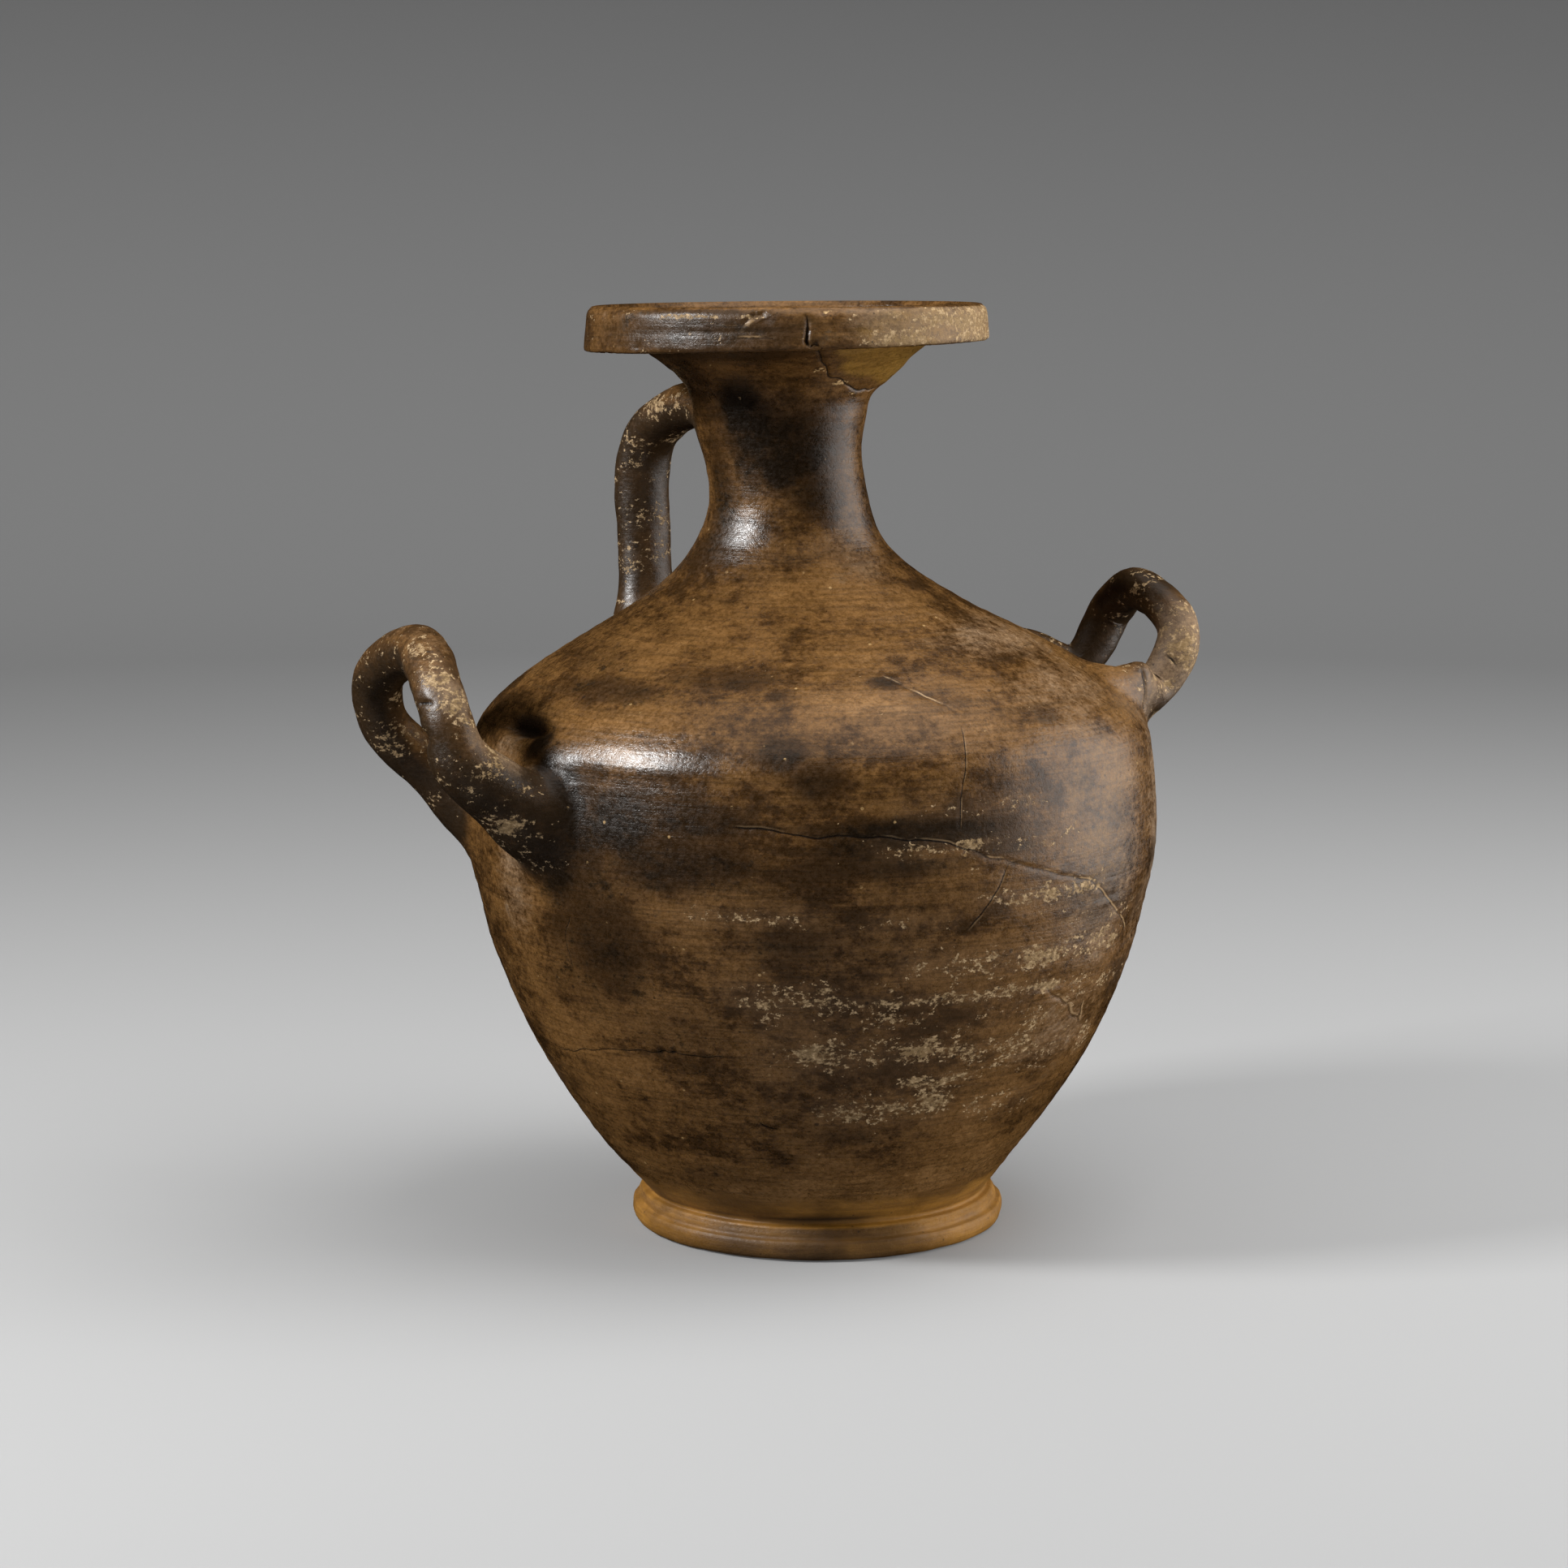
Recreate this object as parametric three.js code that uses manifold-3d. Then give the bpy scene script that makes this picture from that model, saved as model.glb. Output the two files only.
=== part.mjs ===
// Hydria: a wheel-thrown jar of fired clay for carrying water. It has a disc foot, a deep round
// body, a narrow neck that was set on a little askew, a flat rim band, a looped roll handle on
// each side and an upright strap handle behind. Foot, body, neck, rim and handles are one piece.
//
// Millimetres, +Z up. The origin is the middle of the foot's underside. The looped handles lie
// along X and the upright handle lies towards +Y.

import * as THREE from 'three';
import { mergeVertices } from 'three/addons/utils/BufferGeometryUtils.js';
import Module from 'manifold-3d';

const wasm = await Module();
wasm.setup();

// Driving sizes of the turned form.
const height = 338.5;
const footRadius = 69.4;
const footHeight = 12.7;
const footJointRadius = 63.2;
const bellyRadius = 127;
const bellyHeight = 153;
const shoulderRadius = 124.3;
const shoulderHeight = 182.8;
const slopeRadius = 90;
const slopeHeight = 215;
const neckRadius = 29;
const neckHeight = 275;
const collarRadius = 32.3;
const flareRise = 22;
const flareRadius = 53;
const rimRadius = 73.7;
const rimTopRadius = 73;
const rimBand = 15;
const rimEdgeRound = 4.5;
const rimLowerRound = 1.5;
const lipWidth = 6.5;
const mouthDepth = 7.5;
const wall = 6.3;
const floorThickness = 13.5;

// The turned groove in the foot's underside.
const grooveRadius = 47;
const grooveWidth = 14;
const grooveDepth = 2.4;

// How the soft clay settled: the way the neck leans, and how far each part moved that way.
const leanBearing = THREE.MathUtils.degToRad(155.5);
const bodyShift = 1.8;
const neckLean = 8.7;
const neckBend = 3.4;
const rimReturn = 2.4;
const rimTilt = THREE.MathUtils.degToRad(1.7);
const lipTilt = THREE.MathUtils.degToRad(0.45);

// The two looped handles: a roll of clay whose two legs leave the body wall side by side.
// Each offset is counted from the place where a leg's middle line meets the wall, and one leg
// may stand higher than the other by the stagger.
const leftLoop = {
  bearing: THREE.MathUtils.degToRad(179.4),
  rollRadius: 9.7,
  rootHeight: 161,
  rootSpread: 37.5,
  kneeOut: 30,
  kneeRise: 26.5,
  kneeSpread: 41.5,
  bendOut: 34.5,
  bendRise: 44.5,
  bendSpread: 35.5,
  crownOut: 30.5,
  crownRise: 58.5,
  legStagger: 0,
};
const rightLoop = {
  bearing: THREE.MathUtils.degToRad(-0.5),
  rollRadius: 8.9,
  rootHeight: 196.5,
  rootSpread: 39.5,
  kneeOut: 18,
  kneeRise: -2.5,
  kneeSpread: 28.5,
  bendOut: 30.5,
  bendRise: 19,
  bendSpread: 26,
  crownOut: 28.5,
  crownRise: 33.5,
  legStagger: 4,
};

// The upright handle: an oval strap from the neck, over and down onto the shoulder.
const strap = {
  bearing: THREE.MathUtils.degToRad(101.5),
  width: 23.5,
  thickness: 19.5,
  rootBelowRim: 36,
  archOut: 19,
  archBelowRim: 22.8,
  bendOut: 56.5,
  bendBelowRim: 38,
  legOut: 59.7,
  legAboveShoulder: 56,
  footOut: 54.7,
};

// How far a roll spreads where it is pressed onto the wall, and over what length.
const rootSwell = 0.6;
const rootSwellLength = 24;

// How finely the forms are divided.
const turnSegments = 48;
const rollSides = 12;
const rollSteps = 20;
const cavityCoarseness = 0.5;

const rimUnderside = height - rimBand;
const collarHeight = rimUnderside - flareRise;

// A station of the turned outline: radius, height and the outline's direction there in degrees,
// where 0 runs outwards and 90 runs straight up.
const footJoint = { r: footJointRadius, z: footHeight, heading: 47 };
const belly = { r: bellyRadius, z: bellyHeight, heading: 90 };
const shoulder = { r: shoulderRadius, z: shoulderHeight, heading: 94.5 };
const slope = { r: slopeRadius, z: slopeHeight, heading: 149.5 };
const neck = { r: neckRadius, z: neckHeight, heading: 90 };
const collar = { r: collarRadius, z: collarHeight, heading: 82 };
const flare = { r: flareRadius, z: rimUnderside, heading: 36 };

// A smooth curve between two stations. The pulls are shares of the distance between them.
function sweep(from, to, pullFrom, pullTo) {
  const start = new THREE.Vector2(from.r, from.z);
  const end = new THREE.Vector2(to.r, to.z);
  const span = start.distanceTo(end);
  const toward = (station, length) => {
    const heading = THREE.MathUtils.degToRad(station.heading);
    return new THREE.Vector2(Math.cos(heading) * length, Math.sin(heading) * length);
  };
  const leave = start.clone().add(toward(from, pullFrom * span));
  const arrive = end.clone().sub(toward(to, pullTo * span));
  return new THREE.CubicBezierCurve(start, leave, arrive, end);
}

const bodyCurves = [
  [sweep(footJoint, belly, 0.55, 0.11), 9],
  [sweep(belly, shoulder, 0.3, 0.3), 3],
  [sweep(shoulder, slope, 0.15, 0.57), 5],
  [sweep(slope, neck, 0.44, 0.38), 8],
  [sweep(neck, collar, 0.35, 0.35), 3],
  [sweep(collar, flare, 0.35, 0.45), 5],
];

// The points of a chain of curves, each end shared with the next start.
function chain(curves) {
  const points = [];
  for (const [curve, divisions] of curves) {
    if (points.length > 0) points.pop();
    points.push(...curve.getPoints(divisions));
  }
  return points;
}

const bodyLine = chain(bodyCurves);

// The outside radius of the body at a height, read from the outline.
function radiusAt(z) {
  for (let i = 1; i < bodyLine.length; i++) {
    const low = bodyLine[i - 1];
    const high = bodyLine[i];
    if (z <= high.y) {
      return THREE.MathUtils.mapLinear(z, low.y, high.y, low.x, high.x);
    }
  }
  return flareRadius;
}

// The height of the shoulder's surface at a distance from the axis.
function shoulderHeightAt(r) {
  for (let i = bodyLine.length - 1; i > 0; i--) {
    const outer = bodyLine[i - 1];
    const inner = bodyLine[i];
    const descending = outer.x > inner.x;
    if (descending && r <= outer.x && r >= inner.x) {
      return THREE.MathUtils.mapLinear(r, inner.x, outer.x, inner.y, outer.y);
    }
  }
  return shoulderHeight;
}

// The same line moved inwards by the wall.
function inset(points, thickness) {
  return points.map((point, i) => {
    const before = points[Math.max(i - 1, 0)];
    const after = points[Math.min(i + 1, points.length - 1)];
    const along = after.clone().sub(before).normalize();
    return new THREE.Vector2(point.x - along.y * thickness, point.y + along.x * thickness);
  });
}

function corner(fromX, fromY, pullX, pullY, toX, toY) {
  return new THREE.QuadraticBezierCurve(
    new THREE.Vector2(fromX, fromY),
    new THREE.Vector2(pullX, pullY),
    new THREE.Vector2(toX, toY),
  );
}

function footLine() {
  const restRadius = footRadius - 3;
  const stepRadius = footRadius - 2;
  const stepHeight = footHeight * 0.7;
  const bulgeHeight = footHeight * 0.36;
  const grooveStart = grooveRadius - grooveWidth / 2;
  const grooveEnd = grooveRadius + grooveWidth / 2;
  const groove = corner(grooveStart, 0, grooveRadius, 2 * grooveDepth, grooveEnd, 0);
  const lowerEdge = corner(restRadius, 0, footRadius, 0.5, footRadius, bulgeHeight);
  const upperEdge = corner(footRadius, bulgeHeight, footRadius, stepHeight - 1, stepRadius, stepHeight);
  const shelf = corner(stepRadius, stepHeight, stepRadius, footHeight, footJointRadius, footHeight);
  return [
    new THREE.Vector2(0, 0),
    ...groove.getPoints(4),
    ...chain([[lowerEdge, 2], [upperEdge, 2], [shelf, 2]]),
  ];
}

function rimLine() {
  const sideTop = height - rimEdgeRound;
  const innerTop = rimTopRadius - rimEdgeRound;
  return [
    new THREE.Vector2(rimRadius - rimLowerRound, rimUnderside),
    new THREE.Vector2(rimRadius, rimUnderside + rimLowerRound),
    ...corner(rimTopRadius, sideTop, rimTopRadius, height, innerTop, height).getPoints(3),
    new THREE.Vector2(0, height),
  ];
}

// The hollow: flat floor, the body line moved in by the wall, then the dished mouth.
function cavityLine() {
  const coarser = (divisions) => Math.ceil(divisions * cavityCoarseness);
  const coarse = chain(bodyCurves.map(([curve, divisions]) => [curve, coarser(divisions)]));
  const inside = inset(coarse, wall).filter((point) => point.y > floorThickness + 1);
  const throat = inside[inside.length - 1];
  const lipRadius = rimRadius - lipWidth;
  const dishHeight = height - mouthDepth;
  const above = height + rimRadius;
  const dish = corner(throat.x, throat.y, lipRadius - 2, dishHeight - 1, lipRadius, height);
  return [
    new THREE.Vector2(0, floorThickness),
    new THREE.Vector2(inside[0].x - wall, floorThickness),
    ...inside,
    ...dish.getPoints(4).slice(1),
    new THREE.Vector2(lipRadius, above),
    new THREE.Vector2(0, above),
  ];
}

const ease = (value, from, to) => THREE.MathUtils.smoothstep(value, from, to);

// How far the axis has moved towards the leaning side at a height.
function leanAt(z) {
  const slipped = bodyShift * ease(z, footHeight * 0.5, footHeight * 2.5);
  const leaning = neckLean * ease(z, slopeHeight - 10, neckHeight - 17);
  const bending = neckBend * ease(z, neckHeight - 13, collarHeight - 9);
  const returning = rimReturn * ease(z, collarHeight - 1, rimUnderside);
  return slipped + leaning + bending - returning;
}

// How steeply the turned rings dip towards the leaning side at a height.
function tiltAt(z) {
  const rising = Math.tan(rimTilt) * ease(z, neckHeight, rimUnderside);
  return rising + (Math.tan(lipTilt) - Math.tan(rimTilt)) * ease(z, rimUnderside, height);
}

const leanX = Math.cos(leanBearing);
const leanY = Math.sin(leanBearing);

// Moves a turned solid as the clay settled: the axis shifts and the rim dips on the leaning side.
function settle(geometry) {
  const position = geometry.attributes.position;
  for (let i = 0; i < position.count; i++) {
    const x = position.getX(i);
    const y = position.getY(i);
    const z = position.getZ(i);
    const shift = leanAt(z);
    const dip = (x * leanX + y * leanY) * tiltAt(z);
    position.setXYZ(i, x + leanX * shift, y + leanY * shift, z - dip);
  }
  return geometry;
}

function toSolid(geometry) {
  const bare = geometry.clone();
  bare.deleteAttribute('normal');
  bare.deleteAttribute('uv');
  const merged = mergeVertices(bare, 1e-3);
  return new wasm.Manifold(new wasm.Mesh({
    numProp: 3,
    vertProperties: Float32Array.from(merged.attributes.position.array),
    triVerts: Uint32Array.from(merged.index.array),
  }));
}

function turned(line) {
  const geometry = new THREE.LatheGeometry(line, turnSegments);
  geometry.rotateX(Math.PI / 2);
  return toSolid(settle(geometry));
}

// A roll of clay along a curve, wider towards both ends where it was pressed on.
function roll(curve, halfWidth, halfThickness) {
  const section = new THREE.Shape();
  section.absellipse(0, 0, halfWidth, halfThickness, 0, Math.PI * 2);
  const geometry = new THREE.ExtrudeGeometry(section, {
    steps: rollSteps,
    curveSegments: rollSides / 2,
    extrudePath: curve,
  });
  const length = curve.getLength();
  const middles = curve.getSpacedPoints(rollSteps);
  const position = geometry.attributes.position;
  const point = new THREE.Vector3();
  for (let i = 0; i < position.count; i++) {
    point.fromBufferAttribute(position, i);
    const distances = middles.map((middle) => middle.distanceTo(point));
    const nearest = distances.indexOf(Math.min(...distances));
    const fromEnd = Math.min(nearest, rollSteps - nearest) / rollSteps * length;
    const swell = 1 + rootSwell * (1 - ease(fromEnd, 0, rootSwellLength));
    const middle = middles[nearest];
    point.sub(middle).multiplyScalar(swell).add(middle);
    position.setXYZ(i, point.x, point.y, point.z);
  }
  return geometry;
}

// The axis of the vessel at a height, where a handle's own frame is set down.
function axisPoint(z) {
  return new THREE.Vector3(leanX * leanAt(z), leanY * leanAt(z), 0);
}

// A looped handle. In its own frame X runs outwards; the legs stand either side of Y = 0.
function loopHandle(loop) {
  const out = Math.sqrt(radiusAt(loop.rootHeight) ** 2 - loop.rootSpread ** 2);
  const leg = (side) => {
    const base = loop.rootHeight + (side > 0 ? loop.legStagger : 0);
    const place = (offset, spread, rise) => new THREE.Vector3(out + offset, side * spread, base + rise);
    const root = place(0, loop.rootSpread, 0);
    const knee = place(loop.kneeOut, loop.kneeSpread, loop.kneeRise);
    const bend = place(loop.bendOut, loop.bendSpread, loop.bendRise);
    const buried = root.clone().add(root.clone().sub(knee).setLength(wall * 0.7));
    return [buried, root, knee, bend];
  };
  const crown = new THREE.Vector3(out + loop.crownOut, 0, loop.rootHeight + loop.crownRise);
  const points = [...leg(-1), crown, ...leg(1).reverse()];
  const curve = new THREE.CatmullRomCurve3(points, false, 'centripetal');
  const geometry = roll(curve, loop.rollRadius, loop.rollRadius);
  const at = axisPoint(loop.rootHeight);
  return toSolid(geometry.rotateZ(loop.bearing).translate(at.x, at.y, at.z));
}

// The upright handle. In its own frame Y runs outwards from the neck's axis.
function strapHandle() {
  const foot = neckRadius + strap.footOut;
  const place = (out, z) => new THREE.Vector3(0, neckRadius + out, z);
  const curve = new THREE.CatmullRomCurve3([
    place(-wall, rimUnderside - strap.rootBelowRim),
    place(strap.archOut, rimUnderside - strap.archBelowRim),
    place(strap.bendOut, rimUnderside - strap.bendBelowRim),
    place(strap.legOut, shoulderHeight + strap.legAboveShoulder),
    place(strap.footOut, shoulderHeightAt(foot + neckLean / 2) - wall),
  ], false, 'centripetal');
  const geometry = roll(curve, strap.width / 2, strap.thickness / 2);
  const at = axisPoint(collarHeight);
  return toSolid(geometry.rotateZ(strap.bearing - Math.PI / 2).translate(at.x, at.y, at.z));
}

function vesselGeometry() {
  const bodyAndNeck = bodyLine.slice(1);
  const outside = turned([...footLine(), ...bodyAndNeck, ...rimLine()]);
  const hollow = turned(cavityLine());
  const solid = outside
    .add(loopHandle(leftLoop))
    .add(loopHandle(rightLoop))
    .add(strapHandle())
    .subtract(hollow);
  const mesh = solid.getMesh();
  const geometry = new THREE.BufferGeometry();
  geometry.setAttribute('position', new THREE.BufferAttribute(mesh.vertProperties, 3));
  geometry.setIndex(new THREE.BufferAttribute(mesh.triVerts, 1));
  geometry.computeVertexNormals();
  return geometry;
}

const firedClay = new THREE.MeshStandardMaterial({ color: 0x4a3322, roughness: 0.45, metalness: 0 });

const hydria = new THREE.Mesh(vesselGeometry(), firedClay);
hydria.name = 'hydria';

const model = new THREE.Group();
model.add(hydria);

export default model;
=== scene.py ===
import math

import bmesh
import bpy
import numpy as np
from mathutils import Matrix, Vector
from mathutils.bvhtree import BVHTree


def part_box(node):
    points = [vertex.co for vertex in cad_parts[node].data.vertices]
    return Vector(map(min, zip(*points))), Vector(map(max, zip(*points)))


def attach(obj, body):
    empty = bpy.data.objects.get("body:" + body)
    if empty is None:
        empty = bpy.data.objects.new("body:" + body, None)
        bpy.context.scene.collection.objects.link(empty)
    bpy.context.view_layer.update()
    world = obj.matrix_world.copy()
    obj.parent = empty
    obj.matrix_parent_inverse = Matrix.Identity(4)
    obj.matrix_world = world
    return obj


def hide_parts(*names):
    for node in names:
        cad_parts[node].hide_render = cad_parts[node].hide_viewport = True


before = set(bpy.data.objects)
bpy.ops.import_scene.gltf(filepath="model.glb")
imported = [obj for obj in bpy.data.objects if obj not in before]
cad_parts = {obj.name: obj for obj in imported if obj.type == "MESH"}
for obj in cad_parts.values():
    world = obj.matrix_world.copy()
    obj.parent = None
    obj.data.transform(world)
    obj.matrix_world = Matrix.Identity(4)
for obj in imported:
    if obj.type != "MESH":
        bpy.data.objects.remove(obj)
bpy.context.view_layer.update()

# A wheel-thrown water jar of fired clay with a burnished brown-black surface. Lengths are in
# millimetres until a mesh is handed to Blender. A bearing is an angle round the jar's axis in
# degrees, 0 towards +X and 90 towards +Y. A place on the turned form is (bearing, height).
MM = 0.001

# Sizes of the turned form
HEIGHT = 338.5
FOOT_RADIUS = 69.4
REST_RADIUS = FOOT_RADIUS - 3.0
FOOT_STEP_RADIUS = FOOT_RADIUS - 2.0
FOOT_HEIGHT = 12.7
RIM_RADIUS = 73.7
RIM_TOP_RADIUS = 73.0
RIM_BAND = 15.0
RIM_EDGE_ROUND = 4.5
RIM_LOWER_ROUND = 1.5
LIP_WIDTH = 6.5
MOUTH_DEPTH = 7.5
WALL = 6.3
FLOOR_THICKNESS = 13.5
GROOVE_RADIUS, GROOVE_WIDTH, GROOVE_DEPTH = 47.0, 14.0, 2.4  # under the foot
RIM_UNDERSIDE = HEIGHT - RIM_BAND
NECK_HEIGHT = 275.0
COLLAR_HEIGHT = RIM_UNDERSIDE - 22.0
SLOPE_HEIGHT = 215.0
SHOULDER_HEIGHT = 182.8
NECK_RADIUS = 29.0

# Stations of the outline: radius, height, and the outline's heading there in degrees, where 0
# runs outwards and 90 straight up.
FOOT_JOINT = (63.2, FOOT_HEIGHT, 47.0)
BELLY = (127.0, 153.0, 90.0)
SHOULDER = (124.3, SHOULDER_HEIGHT, 94.5)
SLOPE = (90.0, SLOPE_HEIGHT, 149.5)
NECK = (NECK_RADIUS, NECK_HEIGHT, 90.0)
COLLAR = (32.3, COLLAR_HEIGHT, 82.0)
FLARE = (53.0, RIM_UNDERSIDE, 36.0)

# How the soft clay settled: which way the neck leans, how far and between which heights each
# part moved that way, and how rings tilt.
LEAN_BEARING = math.radians(155.5)
LEAN = np.array([math.cos(LEAN_BEARING), math.sin(LEAN_BEARING)])
NECK_LEAN = 8.7
SETTLING = {
    "body": (1.8, FOOT_HEIGHT * 0.5, FOOT_HEIGHT * 2.5),
    "neck": (NECK_LEAN, SLOPE_HEIGHT - 10.0, NECK_HEIGHT - 17.0),
    "neck_bend": (3.4, NECK_HEIGHT - 13.0, COLLAR_HEIGHT - 9.0),
    "rim_return": (-2.4, COLLAR_HEIGHT - 1.0, RIM_UNDERSIDE),
}
RIM_TILT = math.tan(math.radians(1.7))
LIP_TILT = math.tan(math.radians(0.45))

# Looped side handles: offsets (out, spread, rise) from where a leg's middle meets the wall.
LEFT_LOOP = dict(
    bearing=179.4, roll=(9.7, 9.7), root_height=161.0, root_spread=37.5,
    knee=(30.0, 41.5, 26.5), bend=(34.5, 35.5, 44.5), crown=(30.5, 58.5), stagger=0.0,
)
RIGHT_LOOP = dict(
    bearing=-0.5, roll=(8.9, 8.9), root_height=196.5, root_spread=39.5,
    knee=(18.0, 28.5, -2.5), bend=(30.5, 26.0, 19.0), crown=(28.5, 33.5), stagger=4.0,
)
# Upright handle: its points as (distance out from the neck's wall, height).
STRAP_BEARING = 101.5
STRAP_SECTION = (11.75, 9.75)
STRAP_FOOT_OUT = 54.7
STRAP_LINE = [
    (-WALL, RIM_UNDERSIDE - 36.0), (19.0, RIM_UNDERSIDE - 22.8), (56.5, RIM_UNDERSIDE - 38.0),
    (59.7, SHOULDER_HEIGHT + 56.0),
]
# A roll is thicker by this share where it meets the wall, easing off over this length.
ROOT_SWELL, ROOT_SWELL_LENGTH = 0.5, 24.0
# How far a roll runs on inside the wall, rounded off there so that each side meets the wall.
BURIED = 18.0
ROOT_MARGIN = 2.0  # the wall's mesh is opened this much wider than a root
# The roots are smoothed fully up to one row of points and not at all past the other.
THUMBED_ROWS, UNTOUCHED_ROWS = 8, 22


# Curves
def ease(value, start, end):
    """0 up to the start and 1 from the end on, with a smooth rise between them."""
    t = np.clip((np.asarray(value, float) - start) / (end - start), 0, 1)
    return t * t * (3 - 2 * t)


def bezier(points, count=80):
    """Points along a Bezier curve of any degree."""
    t = np.linspace(0, 1, count)[:, None]
    layer = [np.array(p, float)[None] for p in points]
    while len(layer) > 1:
        layer = [a * (1 - t) + b * t for a, b in zip(layer, layer[1:])]
    return layer[0]


def sweep(start, end, pull_start, pull_end):
    """A smooth curve between two stations. The pulls are shares of the distance between them."""
    heads = [np.array([math.cos(math.radians(s[2])), math.sin(math.radians(s[2]))])
             for s in (start, end)]
    a, b = np.array(start[:2]), np.array(end[:2])
    span = np.linalg.norm(b - a)
    return bezier([a, a + heads[0] * pull_start * span, b - heads[1] * pull_end * span, b])


def lengths(points):
    """How far along its line each point is."""
    steps = np.linalg.norm(np.diff(points, axis=0), axis=1)
    return np.concatenate([[0], np.cumsum(steps)])


def respaced(points, spacing):
    """The same line with evenly spaced points."""
    along = lengths(points)
    count = max(int(round(along[-1] / spacing)), 2)
    wanted = np.linspace(0, along[-1], count + 1)
    return np.stack([np.interp(wanted, along, column) for column in points.T], axis=1)


BODY_SWEEPS = [
    sweep(FOOT_JOINT, BELLY, 0.55, 0.11),
    sweep(BELLY, SHOULDER, 0.3, 0.3),
    sweep(SHOULDER, SLOPE, 0.15, 0.57),
    sweep(SLOPE, NECK, 0.44, 0.38),
    sweep(NECK, COLLAR, 0.35, 0.35),
    sweep(COLLAR, FLARE, 0.35, 0.45),
]
BODY_LINE = np.concatenate([BODY_SWEEPS[0]] + [s[1:] for s in BODY_SWEEPS[1:]])
BODY_ALONG = lengths(BODY_LINE)


def radius_at(z):
    """The outline's radius at a height."""
    return np.interp(z, BODY_LINE[:, 1], BODY_LINE[:, 0])


def along_at(z):
    """Distance along the outline from the foot joint to a height."""
    return np.interp(z, BODY_LINE[:, 1], BODY_ALONG)


# The settled clay
def lean_at(z):
    """How far the clay at a height has moved sideways, in mm."""
    return sum(moved * ease(z, low, high) for moved, low, high in SETTLING.values())


def tilt_at(z):
    """How far the ring at a height dips towards the lean, per mm from the axis."""
    rising = RIM_TILT * ease(z, NECK_HEIGHT, RIM_UNDERSIDE)
    return rising + (LIP_TILT - RIM_TILT) * ease(z, RIM_UNDERSIDE, HEIGHT)


def settle(points):
    """Moves points of the true turned form to where the soft clay ended up."""
    moved = points.copy()
    z = points[..., 2]
    moved[..., :2] += lean_at(z)[..., None] * LEAN
    moved[..., 2] -= points[..., :2] @ LEAN * tilt_at(z)
    return moved


def unsettle(points):
    """The reverse of settle, found by a few rounds of correction."""
    turned = points.copy()
    for _ in range(4):
        turned += points - settle(turned)
    return turned


def on_wall(bearing, z):
    """Points on the outer wall, bearing in radians."""
    r = radius_at(z)
    return settle(np.stack([r * np.cos(bearing), r * np.sin(bearing), z], axis=-1))


# The turned surface as rings of points
def foot_line():
    """The foot's side from the resting circle over the bulge and the step to the joint."""
    bulge, step_height = FOOT_HEIGHT * 0.36, FOOT_HEIGHT * 0.7
    step = (FOOT_STEP_RADIUS, step_height)
    curves = [
        bezier([(REST_RADIUS, 0), (FOOT_RADIUS, 0.5), (FOOT_RADIUS, bulge)], 20),
        bezier([(FOOT_RADIUS, bulge), (FOOT_RADIUS, step_height - 1), step], 20),
        bezier([step, (FOOT_STEP_RADIUS, FOOT_HEIGHT), FOOT_JOINT[:2]], 20),
    ]
    return np.concatenate([curves[0], curves[1][1:], curves[2][1:]])


def underside_line():
    """The foot's underside from the axis over the turned groove to the resting circle."""
    inner, outer = GROOVE_RADIUS - GROOVE_WIDTH / 2, GROOVE_RADIUS + GROOVE_WIDTH / 2
    groove = bezier([(inner, 0), (GROOVE_RADIUS, 2 * GROOVE_DEPTH), (outer, 0)], 20)
    return np.concatenate([[(0, 0)], groove, [(REST_RADIUS, 0)]])


def rim_line():
    """The rim from the flare's end up over its band and the top of the lip."""
    side_top, inner_top = HEIGHT - RIM_EDGE_ROUND, RIM_TOP_RADIUS - RIM_EDGE_ROUND
    lip_radius = RIM_RADIUS - LIP_WIDTH
    under = [FLARE[:2], (RIM_RADIUS - RIM_LOWER_ROUND, RIM_UNDERSIDE)]
    lower = bezier([under[1], (RIM_RADIUS, RIM_UNDERSIDE),
                    (RIM_RADIUS, RIM_UNDERSIDE + RIM_LOWER_ROUND)], 8)
    upper = bezier([(RIM_TOP_RADIUS, side_top), (RIM_TOP_RADIUS, HEIGHT), (inner_top, HEIGHT)], 12)
    return np.concatenate([under[:1], lower, upper, [(lip_radius, HEIGHT)]])


def cavity_line():
    """The dished mouth from the lip inwards, and the hollow from there to the floor's middle."""
    tangent = np.gradient(BODY_LINE, axis=0)
    tangent /= np.linalg.norm(tangent, axis=1)[:, None]
    inner = BODY_LINE + np.stack([-tangent[:, 1], tangent[:, 0]], axis=1) * WALL
    inner = inner[inner[:, 1] > FLOOR_THICKNESS + 1]
    lip_radius, dish = RIM_RADIUS - LIP_WIDTH, HEIGHT - MOUTH_DEPTH
    mouth = bezier([inner[-1], (lip_radius - 2, dish - 1), (lip_radius, HEIGHT)], 30)
    floor = [(inner[0][0] - WALL, FLOOR_THICKNESS), (0, FLOOR_THICKNESS)]
    return mouth[::-1], np.concatenate([inner[::-1], floor])


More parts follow.
